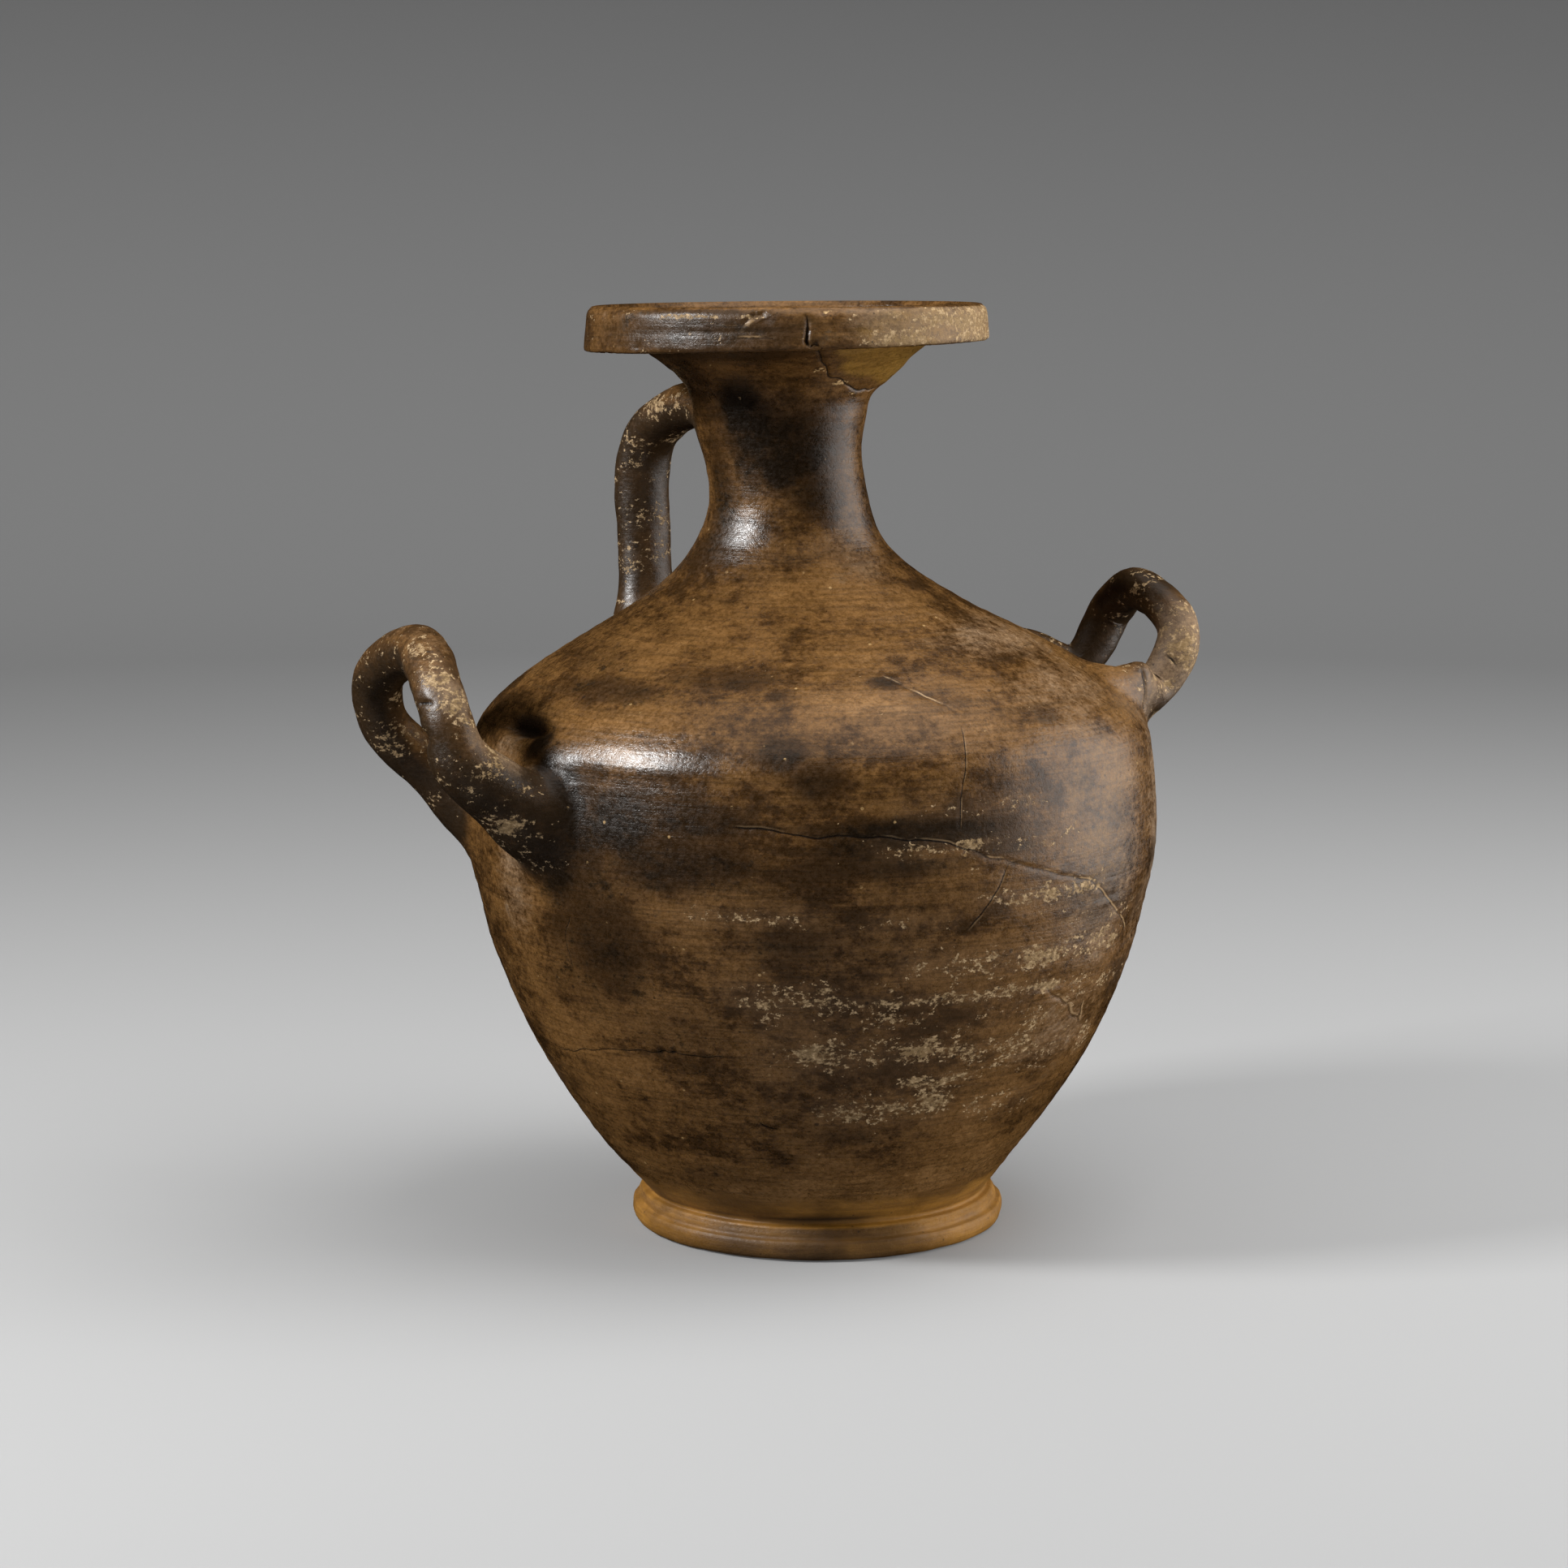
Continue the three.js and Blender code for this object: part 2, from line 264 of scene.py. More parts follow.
def rings_of_vessel():
    """Every ring as (radius, height, number of points), from the underside round to the floor.

    A stretch is its line, the mm from ring to ring, and the points in each ring."""
    mouth, hollow = cavity_line()
    body = np.concatenate([s[1:] for s in BODY_SWEEPS[:3]])
    neck = np.concatenate([s[1:] for s in BODY_SWEEPS[3:5]])
    stretches = [
        (underside_line(), 3.0, 96),
        (foot_line(), 0.9, 240),
        (np.concatenate([[FOOT_JOINT[:2]], body]), 2.15, 288),
        (np.concatenate([[SLOPE[:2]], neck]), 2.0, 192),
        (BODY_SWEEPS[5], 1.3, 224),
        (rim_line(), 1.1, 256),
        (mouth, 2.2, 160),
        (hollow, 6.5, 64),
    ]
    rings = []
    for line, spacing, count in stretches:
        points = respaced(line, spacing)
        for r, z in points if not rings else points[1:]:
            rings.append((r, z, count))
    return rings


def bridge(outer, outer_at, inner, inner_at, cost):
    """Triangles between two closed loops that start side by side and run the same way.

    Of two diagonals the one with the smaller cost is taken. The cost comes from a diagonal's
    two points and from how far round its loop each of them is."""
    faces = []
    i = j = 0
    n, m = len(outer), len(inner)
    while i < n or j < m:
        step_outer = cost(outer_at[(i + 1) % n], inner_at[j % m], (i + 1) / n, j / m)
        step_inner = cost(outer_at[i % n], inner_at[(j + 1) % m], i / n, (j + 1) / m)
        if j >= m or (i < n and step_outer <= step_inner):
            faces.append((outer[i % n], outer[(i + 1) % n], inner[j % m]))
            i += 1
        else:
            faces.append((outer[i % n], inner[(j + 1) % m], inner[j % m]))
            j += 1
    return faces


def even_turn(_outer_point, _inner_point, outer_share, inner_share):
    return abs(outer_share - inner_share)


def short_edge(outer_point, inner_point, *_):
    return np.linalg.norm(outer_point - inner_point)


def turned_mesh():
    """The turned form's points (bearing in radians, radius, height) and its faces."""
    rings = rings_of_vessel()
    spots, starts, counts, faces = [], [], [], []
    for r, z, count in rings:
        count = 1 if r < 1e-6 else count  # a ring on the axis is one point
        angles = np.arange(count) * 2 * math.pi / count
        starts.append(len(spots))
        counts.append(count)
        spots.extend((angle, r, z) for angle in angles)
    for k in range(len(rings) - 1):
        a, b, na, nb = starts[k], starts[k + 1], counts[k], counts[k + 1]
        if na == nb:
            faces.extend((a + j, a + (j + 1) % na, b + (j + 1) % na, b + j) for j in range(na))
        elif na == 1:
            faces.extend((a, b + (j + 1) % nb, b + j)[::-1] for j in range(nb))
        elif nb == 1:
            faces.extend((a + j, a + (j + 1) % na, b) for j in range(na))
        else:
            lower, upper = range(a, a + na), range(b, b + nb)
            faces.extend(bridge(lower, lower, upper, upper, even_turn))
    return np.array(spots), faces


# Handles
def catmull(points, count=420):
    """A centripetal Catmull-Rom curve through points, evenly spaced along its length."""
    points = np.array(points, float)
    ends = [2 * points[0] - points[1], 2 * points[-1] - points[-2]]
    p = np.concatenate([ends[:1], points, ends[1:]])
    line = []
    for k in range(1, len(p) - 2):
        gaps = [math.sqrt(np.linalg.norm(p[k + i] - p[k + i - 1])) for i in range(3)]
        t1 = (p[k] - p[k - 1]) / gaps[0] - (p[k + 1] - p[k - 1]) / (gaps[0] + gaps[1])
        t1 = (t1 + (p[k + 1] - p[k]) / gaps[1]) * gaps[1]
        t2 = (p[k + 1] - p[k]) / gaps[1] - (p[k + 2] - p[k]) / (gaps[1] + gaps[2])
        t2 = (t2 + (p[k + 2] - p[k + 1]) / gaps[2]) * gaps[1]
        t = np.linspace(0, 1, 100)[:, None]
        h = [2 * t**3 - 3 * t**2 + 1, t**3 - 2 * t**2 + t, -2 * t**3 + 3 * t**2, t**3 - t**2]
        piece = h[0] * p[k] + h[1] * t1 + h[2] * p[k + 1] + h[3] * t2
        line.append(piece[1:] if line else piece)
    line = np.concatenate(line)
    return respaced(line, lengths(line)[-1] / count)


def set_down(points, bearing, z):
    """Turns a handle's own frame to its bearing and puts it on the leaning axis."""
    a = math.radians(bearing)
    turned = points @ np.array([[math.cos(a), math.sin(a), 0], [-math.sin(a), math.cos(a), 0],
                                [0, 0, 1]])
    turned[:, :2] += float(lean_at(z)) * LEAN
    return turned


def loop_line(loop):
    """The middle line of a looped side handle, from one root over its crown to the other."""
    root = loop["root_height"]
    out = math.sqrt(float(radius_at(root)) ** 2 - loop["root_spread"] ** 2)

    def leg(side):
        base = root + (loop["stagger"] if side > 0 else 0)
        start = np.array([out, side * loop["root_spread"], base])
        knee, bend = (np.array([out + o, side * s, base + h])
                      for o, s, h in (loop["knee"], loop["bend"]))
        inward = (start - knee) / np.linalg.norm(start - knee)
        return [start + inward * WALL * 0.7, start, knee, bend]

    crown = np.array([out + loop["crown"][0], 0, root + loop["crown"][1]])
    line = catmull(leg(-1) + [crown] + leg(1)[::-1])
    return set_down(line, loop["bearing"], root)


def strap_line():
    """The middle line of the upright handle, from the collar down to the shoulder."""
    foot = NECK_RADIUS + STRAP_FOOT_OUT
    sloping = BODY_LINE[BODY_LINE[:, 1] > SHOULDER_HEIGHT]
    sloping = sloping[:np.argmin(sloping[:, 0])][::-1]
    foot_z = np.interp(foot + NECK_LEAN / 2, sloping[:, 0], sloping[:, 1]) - WALL
    points = [(NECK_RADIUS + out, 0, z) for out, z in STRAP_LINE] + [(foot, 0, foot_z)]
    return set_down(catmull(points), STRAP_BEARING, COLLAR_HEIGHT)


class Roll:
    """A roll of clay along a line: half width across, half thickness in the line's own plane."""

    def __init__(self, line, half_width, half_thickness, sides):
        inward = [line[0] - line[1], line[-1] - line[-2]]
        inward = [v / np.linalg.norm(v) * BURIED for v in inward]
        line = np.concatenate([[line[0] + inward[0]], line, [line[-1] + inward[1]]])
        line = respaced(line, 0.5)
        self.line = line
        self.along = lengths(line)
        self.length = self.along[-1]
        tangent = np.gradient(line, axis=0)
        self.tangent = tangent / np.linalg.norm(tangent, axis=1)[:, None]
        chord = line[-1] - line[0]
        middle = line[len(line) // 2] - (line[0] + line[-1]) / 2
        across = np.cross(chord, middle)
        across /= np.linalg.norm(across)
        side = across - (self.tangent @ across)[:, None] * self.tangent
        self.side = side / np.linalg.norm(side, axis=1)[:, None]
        self.face = np.cross(self.tangent, self.side)
        self.half = (half_width, half_thickness)
        self.turns = np.arange(sides) * 2 * math.pi / sides

    def at(self, distance, turn):
        """Surface points at distances along the roll and turns round it."""
        pick = [np.interp(distance, self.along, self.line[:, k]) for k in range(3)]
        side, face = ([np.interp(distance, self.along, v[:, k]) for k in range(3)]
                      for v in (self.side, self.face))
        end = np.minimum(distance, self.length - distance) - BURIED
        swell = 1 + ROOT_SWELL * (1 - ease(end, 0, ROOT_SWELL_LENGTH))
        swell = swell * np.sqrt(np.clip(1 - np.clip(-end / BURIED, 0, 1) ** 2, 0, 1))
        a = np.cos(turn) * self.half[0] * swell
        b = np.sin(turn) * self.half[1] * swell
        return np.stack([pick[k] + a * side[k] + b * face[k] for k in range(3)], axis=-1)


def depth_in_wall(points):
    """Above 0 inside the outer wall's surface, below 0 outside it."""
    turned = unsettle(points.reshape(-1, 3))
    r = np.hypot(turned[:, 0], turned[:, 1])
    return (radius_at(turned[:, 2]) - r).reshape(points.shape[:-1])


def crossings(roll):
    """For each turn round the roll, the distances where it leaves and enters the wall."""
    steps = np.linspace(0, roll.length, 900)
    grid = roll.at(steps[:, None] + 0 * roll.turns[None], roll.turns[None] + 0 * steps[:, None])
    depth = depth_in_wall(grid)
    half = len(steps) // 2
    leaves, enters = [], []
    for k in range(len(roll.turns)):
        inside = depth[:, k] > 0
        first = np.max(np.nonzero(inside[:half])[0])
        last = half + np.min(np.nonzero(inside[half:])[0])
        for found, low, high in ((leaves, first, first + 1), (enters, last, last - 1)):
            share = depth[low, k] / (depth[low, k] - depth[high, k])
            found.append(steps[low] + share * (steps[high] - steps[low]))
    return np.array(leaves), np.array(enters)


class Root:
    """Where one end of a roll meets the wall: a flat map of the wall round it, in mm."""

    def __init__(self, roll, distances, apron):
        self.meet = roll.at(distances, roll.turns)
        meet = unsettle(self.meet)
        bearings = np.unwrap(np.arctan2(meet[:, 1], meet[:, 0]))
        self.bearing, self.z = bearings.mean(), meet[:, 2].mean()
        self.radius = float(radius_at(self.z))
        across = (bearings - self.bearing) * self.radius
        up = along_at(meet[:, 2]) - along_at(self.z)
        self.reach = np.hypot(across, up) + apron
        self.angle = np.arctan2(up, across)
        self.ring = self.wall_points(self.reach * np.cos(self.angle),
                                     self.reach * np.sin(self.angle))

    def wall_points(self, across, up):
        """Points of the wall from millimetres across and up on the map."""
        z = np.interp(along_at(self.z) + up, BODY_ALONG, BODY_LINE[:, 1])
        return on_wall(self.bearing + across / self.radius, z)

    def flat(self, bearing, z):
        """Millimetres across and up on the map from a bearing in radians and a height."""
        turn = (bearing - self.bearing + math.pi) % (2 * math.pi) - math.pi
        return turn * self.radius, along_at(z) - along_at(self.z)

    def covers(self, bearing, z, margin):
        """Whether places lie under the root or within a margin beside it."""
        across, up = self.flat(bearing, z)
        order = np.argsort(self.angle)
        reach = np.interp(np.arctan2(up, across), self.angle[order], self.reach[order],
                          period=2 * math.pi)
        return np.hypot(across, up) < reach + margin


def rolled_handle(line, section, sides, apron, rise, spacing, passes, fillet_rows=5):
    """The handle's grid of points, its two roots, and how far each row belongs to the handle.

    The apron is how far the root spreads on the wall, the rise how far it runs up the roll. The
    passes smooth each root lengthwise, as the potter's thumb did."""
    roll = Roll(line, *section, sides)
    leaves, enters = crossings(roll)
    roots = Root(roll, leaves, apron), Root(roll, enters, apron)
    starts, ends = leaves + rise, enters - rise
    rows = int(round((ends - starts).mean() / spacing))
    middle = [roll.at(starts + (ends - starts) * k / rows, roll.turns) for k in range(rows + 1)]
    first, last = [], []
    for k in range(fillet_rows):
        t = k / fillet_rows
        share = ((1 - t) ** 2, 2 * t * (1 - t), t * t)
        for fillet, root, end in ((first, roots[0], middle[0]), (last, roots[1], middle[-1])):
            fillet.append(share[0] * root.ring + share[1] * root.meet + share[2] * end)
    grid = np.array(first + middle + last[::-1])
    row = np.arange(1, len(grid) - 1)
    from_root = np.minimum(row, len(grid) - 1 - row)
    near_root = ease(from_root, UNTOUCHED_ROWS, THUMBED_ROWS)[:, None, None]
    for _ in range(passes):
        soft = 0.25 * grid[:-2] + 0.5 * grid[1:-1] + 0.25 * grid[2:]
        grid[1:-1] += near_root * (soft - grid[1:-1])
    share = np.ones(len(grid))
    share[:fillet_rows] = ease(np.arange(fillet_rows) / fillet_rows, 0, 1)
    share[-fillet_rows:] = share[:fillet_rows][::-1]
    return grid, roots, share


def boundary_loops(faces):
    """Closed loops of edges that only one face uses, in the direction opposite to that face."""
    used = dict.fromkeys(edge for face in faces for edge in zip(face, face[1:] + face[:1]))
    follow = {b: a for a, b in used if (b, a) not in used}
    loops = []
    while follow:
        start = next(iter(follow))
        loop = [start]
        while follow[loop[-1]] != start:
            loop.append(follow.pop(loop[-1]))
        follow.pop(loop[-1])
        loops.append(loop)
    return loops


def counter_clockwise(loop, angles):
    """The loop, turned about if the angles of its points fall along it."""
    falls = np.unwrap(np.append(angles, angles[0]))[-1] < angles[0]
    return loop[::-1] if falls else loop


def vessel_with_handles():
    """All points, faces, and for each point how far it belongs to a handle (0 to 1)."""
    spots, faces = turned_mesh()
    bearing, r, z = spots.T
    points = settle(np.stack([r * np.cos(bearing), r * np.sin(bearing), z], axis=1))
    outer = np.abs(r - radius_at(z)) < 0.05
    handle_share = np.zeros(len(points))
    handles = [
        rolled_handle(loop_line(LEFT_LOOP), LEFT_LOOP["roll"], sides=40, apron=6.0, rise=6.5,
                      spacing=1.8, passes=12),
        rolled_handle(loop_line(RIGHT_LOOP), RIGHT_LOOP["roll"], sides=40, apron=5.0, rise=6.0,
                      spacing=1.8, passes=26),
        rolled_handle(strap_line(), STRAP_SECTION, sides=44, apron=5.0, rise=6.0, spacing=1.9,
                      passes=12),
    ]
    for grid, roots, share in handles:
        count, sides = grid.shape[:2]
        base = len(points)
        points = np.concatenate([points, grid.reshape(-1, 3)])
        handle_share = np.concatenate([handle_share, np.repeat(share, sides)])
        ids = base + np.arange(count * sides).reshape(count, sides)
        for k in range(count - 1):
            for j in range(sides):
                n = (j + 1) % sides
                faces.append((ids[k, j], ids[k, n], ids[k + 1, n], ids[k + 1, j]))
        for root, ring in zip(roots, (ids[0], ids[-1])):
            covered = np.zeros(len(points), bool)
            covered[:len(spots)] = outer & root.covers(bearing, z, ROOT_MARGIN)
            cut = [f for f in faces if any(covered[v] for v in f)]
            faces = [f for f in faces if not any(covered[v] for v in f)]
            hole = boundary_loops(cut)[0]
            across, up = root.flat(bearing[hole], z[hole])
            hole = counter_clockwise(hole, np.arctan2(up, across))
            ring = list(counter_clockwise(ring, root.angle))
            apart = np.linalg.norm(points[ring] - points[hole[0]], axis=1)
            ring = list(np.roll(ring, -int(np.argmin(apart))))
            faces.extend(bridge(hole, points[hole], ring, points[ring], short_edge))
    return points, faces, handle_share


# Marks of making, use and repair

# A crack is its places, half width and depth in mm, and how pale its lips are, from 0 to 1.
LONG_CRACK = [
    (-127.7, 166.2), (-115.2, 164.0), (-102.1, 163.0), (-92.2, 158.9), (-83.0, 151.9),
    (-73.8, 146.1), (-64.1, 140.5), (-56.2, 128.5), (-43.8, 114.4),
]
# Its lips are pale from this bearing on, fully so after this many degrees.
LONG_CRACK_PALE_FROM, LONG_CRACK_PALE_IN = -100.0, 20.0
CRACKS = [
    (LONG_CRACK, 0.3, 0.5, 0.3),
    # its branch, the crack round the neck, and the one across the rim's band
    ([(-83.3, 151.6), (-84.7, 143.1), (-90.2, 128.4)], 0.26, 0.3, 0.3),
    ([(-108.5, 325.0), (-102.0, 322.1), (-97.2, 317.0), (-90.0, 313.4), (-76.2, 309.7),
      (-60.8, 307.6), (-47.0, 307.6), (-38.0, 309.5)], 0.3, 0.5, 0.1),
    ([(-109.4, 338.0), (-108.8, 333.0), (-109.3, 327.0), (-107.6, 324.6)], 0.6, 1.6, 0.1),
    # scratches and hairlines on shoulder and belly
    ([(-99.8, 214.2), (-94.0, 208.7), (-88.6, 202.7)], 0.3, 0.25, 1.0),
    ([(-88.6, 198.0), (-91.3, 176.0), (-91.7, 164.0)], 0.2, 0.15, 0.35),
    ([(-173.8, 74.6), (-158.0, 80.0), (-143.4, 83.1), (-129.9, 83.0)], 0.2, 0.25, 0.1),
    ([(-126.6, 58.6), (-125.4, 56.0), (-122.9, 54.5), (-121.2, 54.9)], 0.35, 0.5, 0.1),
    # the gouge low on the right, in two strokes
    ([(-71.5, 103.5), (-55.4, 84.6)], 0.5, 0.45, 1.0),
    ([(-58.5, 95.5), (-55.6, 84.4)], 0.35, 0.3, 1.0),
    # a hairline down the belly's left side
    ([(-157.2, 131.0), (-159.6, 121.5), (-158.8, 110.0)], 0.16, 0.2, 0.1),
    # scratches on the rim's band
    ([(-122.4, 337.6), (-124.0, 335.0), (-127.0, 331.8)], 0.6, 0.8, 1.0),
    ([(-128.4, 328.5), (-117.0, 327.8)], 0.3, 0.3, 0.8),
    ([(-140.0, 333.0), (-125.0, 332.4)], 0.25, 0.3, 0.1),
]
FIRST_CRACK_SEED = 100
# Cracks on the rolls have points (x, y, z) instead of places.
ROLL_CRACKS = [
    ([(-167.6, -32.6, 205.0), (-165.5, -38.2, 206.1), (-162.8, -42.5, 206.4)], 0.5, 1.1, 0.1),
    ([(107.2, -47.4, 205.0), (108.0, -50.7, 198.0), (108.9, -53.4, 192.8), (110.5, -55.5, 188.0)],
     0.5, 1.2, 0.1),
    ([(126.8, -33.5, 208.8), (128.9, -35.9, 206.8), (131.6, -36.9, 203.2)], 0.45, 1.0, 0.1),
    ([(134.0, -25.0, 225.5), (135.5, -28.5, 222.0)], 0.2, 0.4, 0.1),
]
# A crack's sides slope this much past its half width, and it runs out over this length.
CRACK_SLOPE, CRACK_END = 0.18, 3.0
# Every crack's colour is drawn as for this half width, and its lips fade between two distances.
CRACK_HALF, LIP_FULL, LIP_FADED = 0.32, 1.4, 2.6
GROOVES = [  # (bearing from, bearing to, height, half width, depth)
    (-160.0, -126.0, 186.3, 0.9, 0.12),
    (-156.0, -130.0, 180.2, 0.8, 0.16),
    (-150.0, -112.0, 168.0, 1.2, 0.14),
    (-126.0, -60.0, 104.0, 1.3, 0.25),
    (-130.0, -70.0, 86.0, 1.2, 0.20),
    (-140.0, -60.0, 70.0, 1.2, 0.18),
    (-180.0, -90.0, 330.5, 0.8, 0.25),
]
FOOT_LINE = (8.8, 0.6, 0.9)  # incised all round: height, half width, depth
# The ragged ledge over the foot's step: height, half height, depth, and how much deeper it is
# in places. It lies outside the foot's joint by more than the last value.
FOOT_LEDGE = (10.9, 1.3, 0.35, 0.5, 0.8)
# Hollows and swellings: (bearing, height, half width, half height, how far out, edge); the edge
# is from 1 (soft) to 3 (firm).
SWELLINGS = [
    (-164.0, 169.5, 17.0, 20.0, 3.4, 2.2),
    (-174.5, 193.2, 16.0, 4.6, -4.6, 2.2),
    (-41.0, 120.0, 18.0, 12.0, -1.9, 1.5),
    (-36.0, 313.0, 16.0, 7.5, 1.9, 1.5),
    (163.0, 148.0, 16.0, 16.0, 1.2, 1.5),
    (-65.0, 90.0, 15.0, 4.0, -0.5, 1.5),
    (-53.0, 82.0, 13.0, 4.0, -0.7, 1.5),
]
# Chips and pits: (bearing, height, radius, depth).
CHIPS = [
    (-122.2, 336.4, 3.6, 1.1), (-119.6, 334.6, 2.2, 0.9), (-104.4, 338.4, 4.2, 0.9),
    (-106.9, 325.0, 2.4, 1.4), (-32.0, 326.0, 3.2, 1.5), (-36.5, 331.0, 2.2, 0.8),
    (-176.9, 336.5, 3.0, 1.0), (-160.0, 326.0, 2.2, 0.9), (-73.4, 210.2, 1.5, 0.9),
    (-80.5, 163.8, 1.3, 0.9), (-98.0, 147.2, 1.4, 0.8), (-95.3, 148.5, 1.1, 0.7),
    (-143.4, 83.1, 2.2, 0.9), (-140.9, 83.4, 1.4, 0.8), (-113.0, 199.0, 1.1, 0.6),
    (-176.9, 37.5, 3.5, 1.1), (-64.0, 10.5, 2.4, 0.9), (-90.0, 12.0, 2.0, 0.8),
    (-128.0, 132.0, 1.0, 0.5), (-134.0, 176.5, 1.0, 0.5), (-150.5, 190.0, 1.0, 0.5),
]
# Swellings on and beside the rolls: (point, radius, out).
ROLL_SWELLINGS = [((111.0, -46.0, 209.0), 7.0, 2.6), ((103.0, -41.0, 207.0), 8.0, -2.6)]
ROLL_CHIPS = [((138.1, -33.1, 219.3), 1.9, 1.2), ((-161.0, -22.0, 221.0), 2.2, 0.6)]
# Wheel marks: how far apart the coarse and the fine ones are along the outline, and their depth.
WHEEL_MARKS, FINE_WHEEL_MARKS, WHEEL_DEPTH = 7.4, 4.3, 0.07
# Unevenness from hands and drying: (where, depth, mm from dent to dent, how much flatter than
# wide the dents are, seed).
UNEVENNESS = [
    ("wall", 0.75, 75.0, 1.6, 5), ("outside", 0.16, 16.0, 1.0, 7), ("handle", 0.55, 24.0, 1.0, 11),
    ("handle", 0.22, 7.0, 1.0, 13), ("ends", 0.35, 34.0, 1.0, 17), ("ends", 0.15, 9.0, 1.0, 19),
]
# Points no further inside the outline than this are on the outer skin, not in the hollow.
SKIN_GAP = 3.2


def outline_radius(z):
    """The outer radius at any height, rim and foot with it."""
    z = np.asarray(z, float)
    r = np.where(z > RIM_UNDERSIDE, RIM_RADIUS, radius_at(z))
    return np.where(z < FOOT_HEIGHT, FOOT_RADIUS, r)


def place_point(bearing, z):
    """The point of the settled clay at a place."""
    a, r = np.radians(bearing), outline_radius(z)
    return settle(np.stack([r * np.cos(a), r * np.sin(a), np.asarray(z, float)], axis=-1))


def wandering(places, seed, spacing=1.6, stray=0.4):
    """A crack's line through places, with the small sideways steps of a real one."""
    bearing, z = np.array(places, float).T
    rough = place_point(bearing, z)
    along = lengths(rough)
    count = max(int(along[-1] / spacing), 3)
    wanted = np.linspace(0, along[-1], count + 1)
    rng = np.random.default_rng(seed)
    steps = np.convolve(rng.normal(0, 1, count + 5), [0.25, 0.5, 0.5, 0.5, 0.25], "valid")
    return place_point(np.interp(wanted, along, bearing),
                       np.interp(wanted, along, z) + steps * stray)


def laid_on(places, skin, spacing=1.2):
    """A line through points near the clay, laid on its skin."""
    line = respaced(np.array(places, float), spacing)
    return np.array([skin.find_nearest(Vector(point))[0] for point in line])


def beside(points, normals, line):
    """Signed distance of points from a line on the surface, and the distance to its nearer end."""
    best = np.full(len(points), 1e9)
    side, run = np.zeros(len(points)), np.zeros(len(points))
    along = lengths(line)
    for k in range(len(line) - 1):
        a, step = line[k], line[k + 1] - line[k]
        t = np.clip((points - a) @ step / (step @ step), 0, 1)
        off = points - a - t[:, None] * step
        away = np.linalg.norm(off, axis=1)
        near = away < best
        best[near] = away[near]
        sign = np.sign(np.einsum("ij,ij->i", np.cross(normals, step), off))
        side[near] = (sign * away)[near]
        run[near] = (along[k] + t * np.linalg.norm(step))[near]
    return side, np.minimum(run, along[-1] - run)


def rolling(points, wavelength, seed):
    """Gentle unevenness from 0 to 1 over about that many millimetres, the same in each run."""
    rng = np.random.default_rng(seed)
    total = np.zeros(len(points))
    for _ in range(10):
        way = rng.normal(size=3)
        way *= 2 * math.pi / (wavelength * rng.uniform(0.7, 1.5)) / np.linalg.norm(way)
        total += np.sin(points @ way + rng.uniform(0, 2 * math.pi))
    return 0.5 + 0.5 * np.tanh(total / 3)


def vertex_normals(points, faces):
    """The direction out of the clay at each point."""
    triangles = np.array([(f[0], f[i], f[i + 1]) for f in faces for i in range(1, len(f) - 1)])
    a, b, c = (points[triangles[:, k]] for k in range(3))
    flat = np.cross(b - a, c - a)
    normals = np.zeros_like(points)
    for k in range(3):
        np.add.at(normals, triangles[:, k], flat)
    return normals / np.linalg.norm(normals, axis=1)[:, None]


class Spots:
    """Where each point of the mesh is: bearing in degrees, height, and which part it is on."""

    def __init__(self, points, handle_share):
        turned = unsettle(points)
        self.points, self.handle = points, handle_share
        self.bearing = np.degrees(np.arctan2(turned[:, 1], turned[:, 0]))
        self.z, self.r = turned[:, 2], np.hypot(turned[:, 0], turned[:, 1])
        gap = outline_radius(self.z) - self.r
        self.outside = (gap < SKIN_GAP) | (handle_share > 0)
        self.rim = self.outside & (self.z > RIM_UNDERSIDE - 0.2) & (self.r > FLARE[0])
        self.foot = (self.z < FOOT_HEIGHT + 0.1) & (self.r < FOOT_RADIUS + 1) & ~self.hollow()
        self.wall = self.outside & ~self.rim & ~self.foot
        self.ends = self.rim | self.foot

    def hollow(self):
        """Whether each point is on the inner skin."""
        return (self.z > FLOOR_THICKNESS - 1) & (self.r < radius_at(self.z) - SKIN_GAP)

    def turn_from(self, bearing):
        """Degrees round the axis from a bearing, from -180 to 180."""
        return (self.bearing - bearing + 180) % 360 - 180

    def flat(self, bearing, z):
        """Millimetres across and up from a place."""
        across = np.radians(self.turn_from(bearing)) * outline_radius(z)
        return across, along_at(self.z) - along_at(z) + np.where(self.rim, self.z - z, 0)

    def within(self, bearing, z, half_width, half_height, edge=1.5):
        """1 over a place, falling to 0 past its half width and half height."""
        across, up = self.flat(bearing, z)
        far = (across / half_width) ** 2 + (up / half_height) ** 2
        return np.exp(-far ** edge) * self.outside

    def near(self, point, radius):
        """1 near a point (x, y, z), falling softly to 0 past the radius."""
        away = np.linalg.norm(self.points - point, axis=1)
        return np.exp(-(away / radius) ** 3) * self.outside

    def band(self, start, end, z, half_height, fade=6.0):
        """1 along a level band between two bearings."""
        middle, half = (start + end) / 2, (end - start) / 2
        turn = np.abs(self.turn_from(middle))
        level = np.exp(-((self.z - z) / half_height) ** 2)
        return level * ease(half + fade - turn, 0, fade) * self.outside


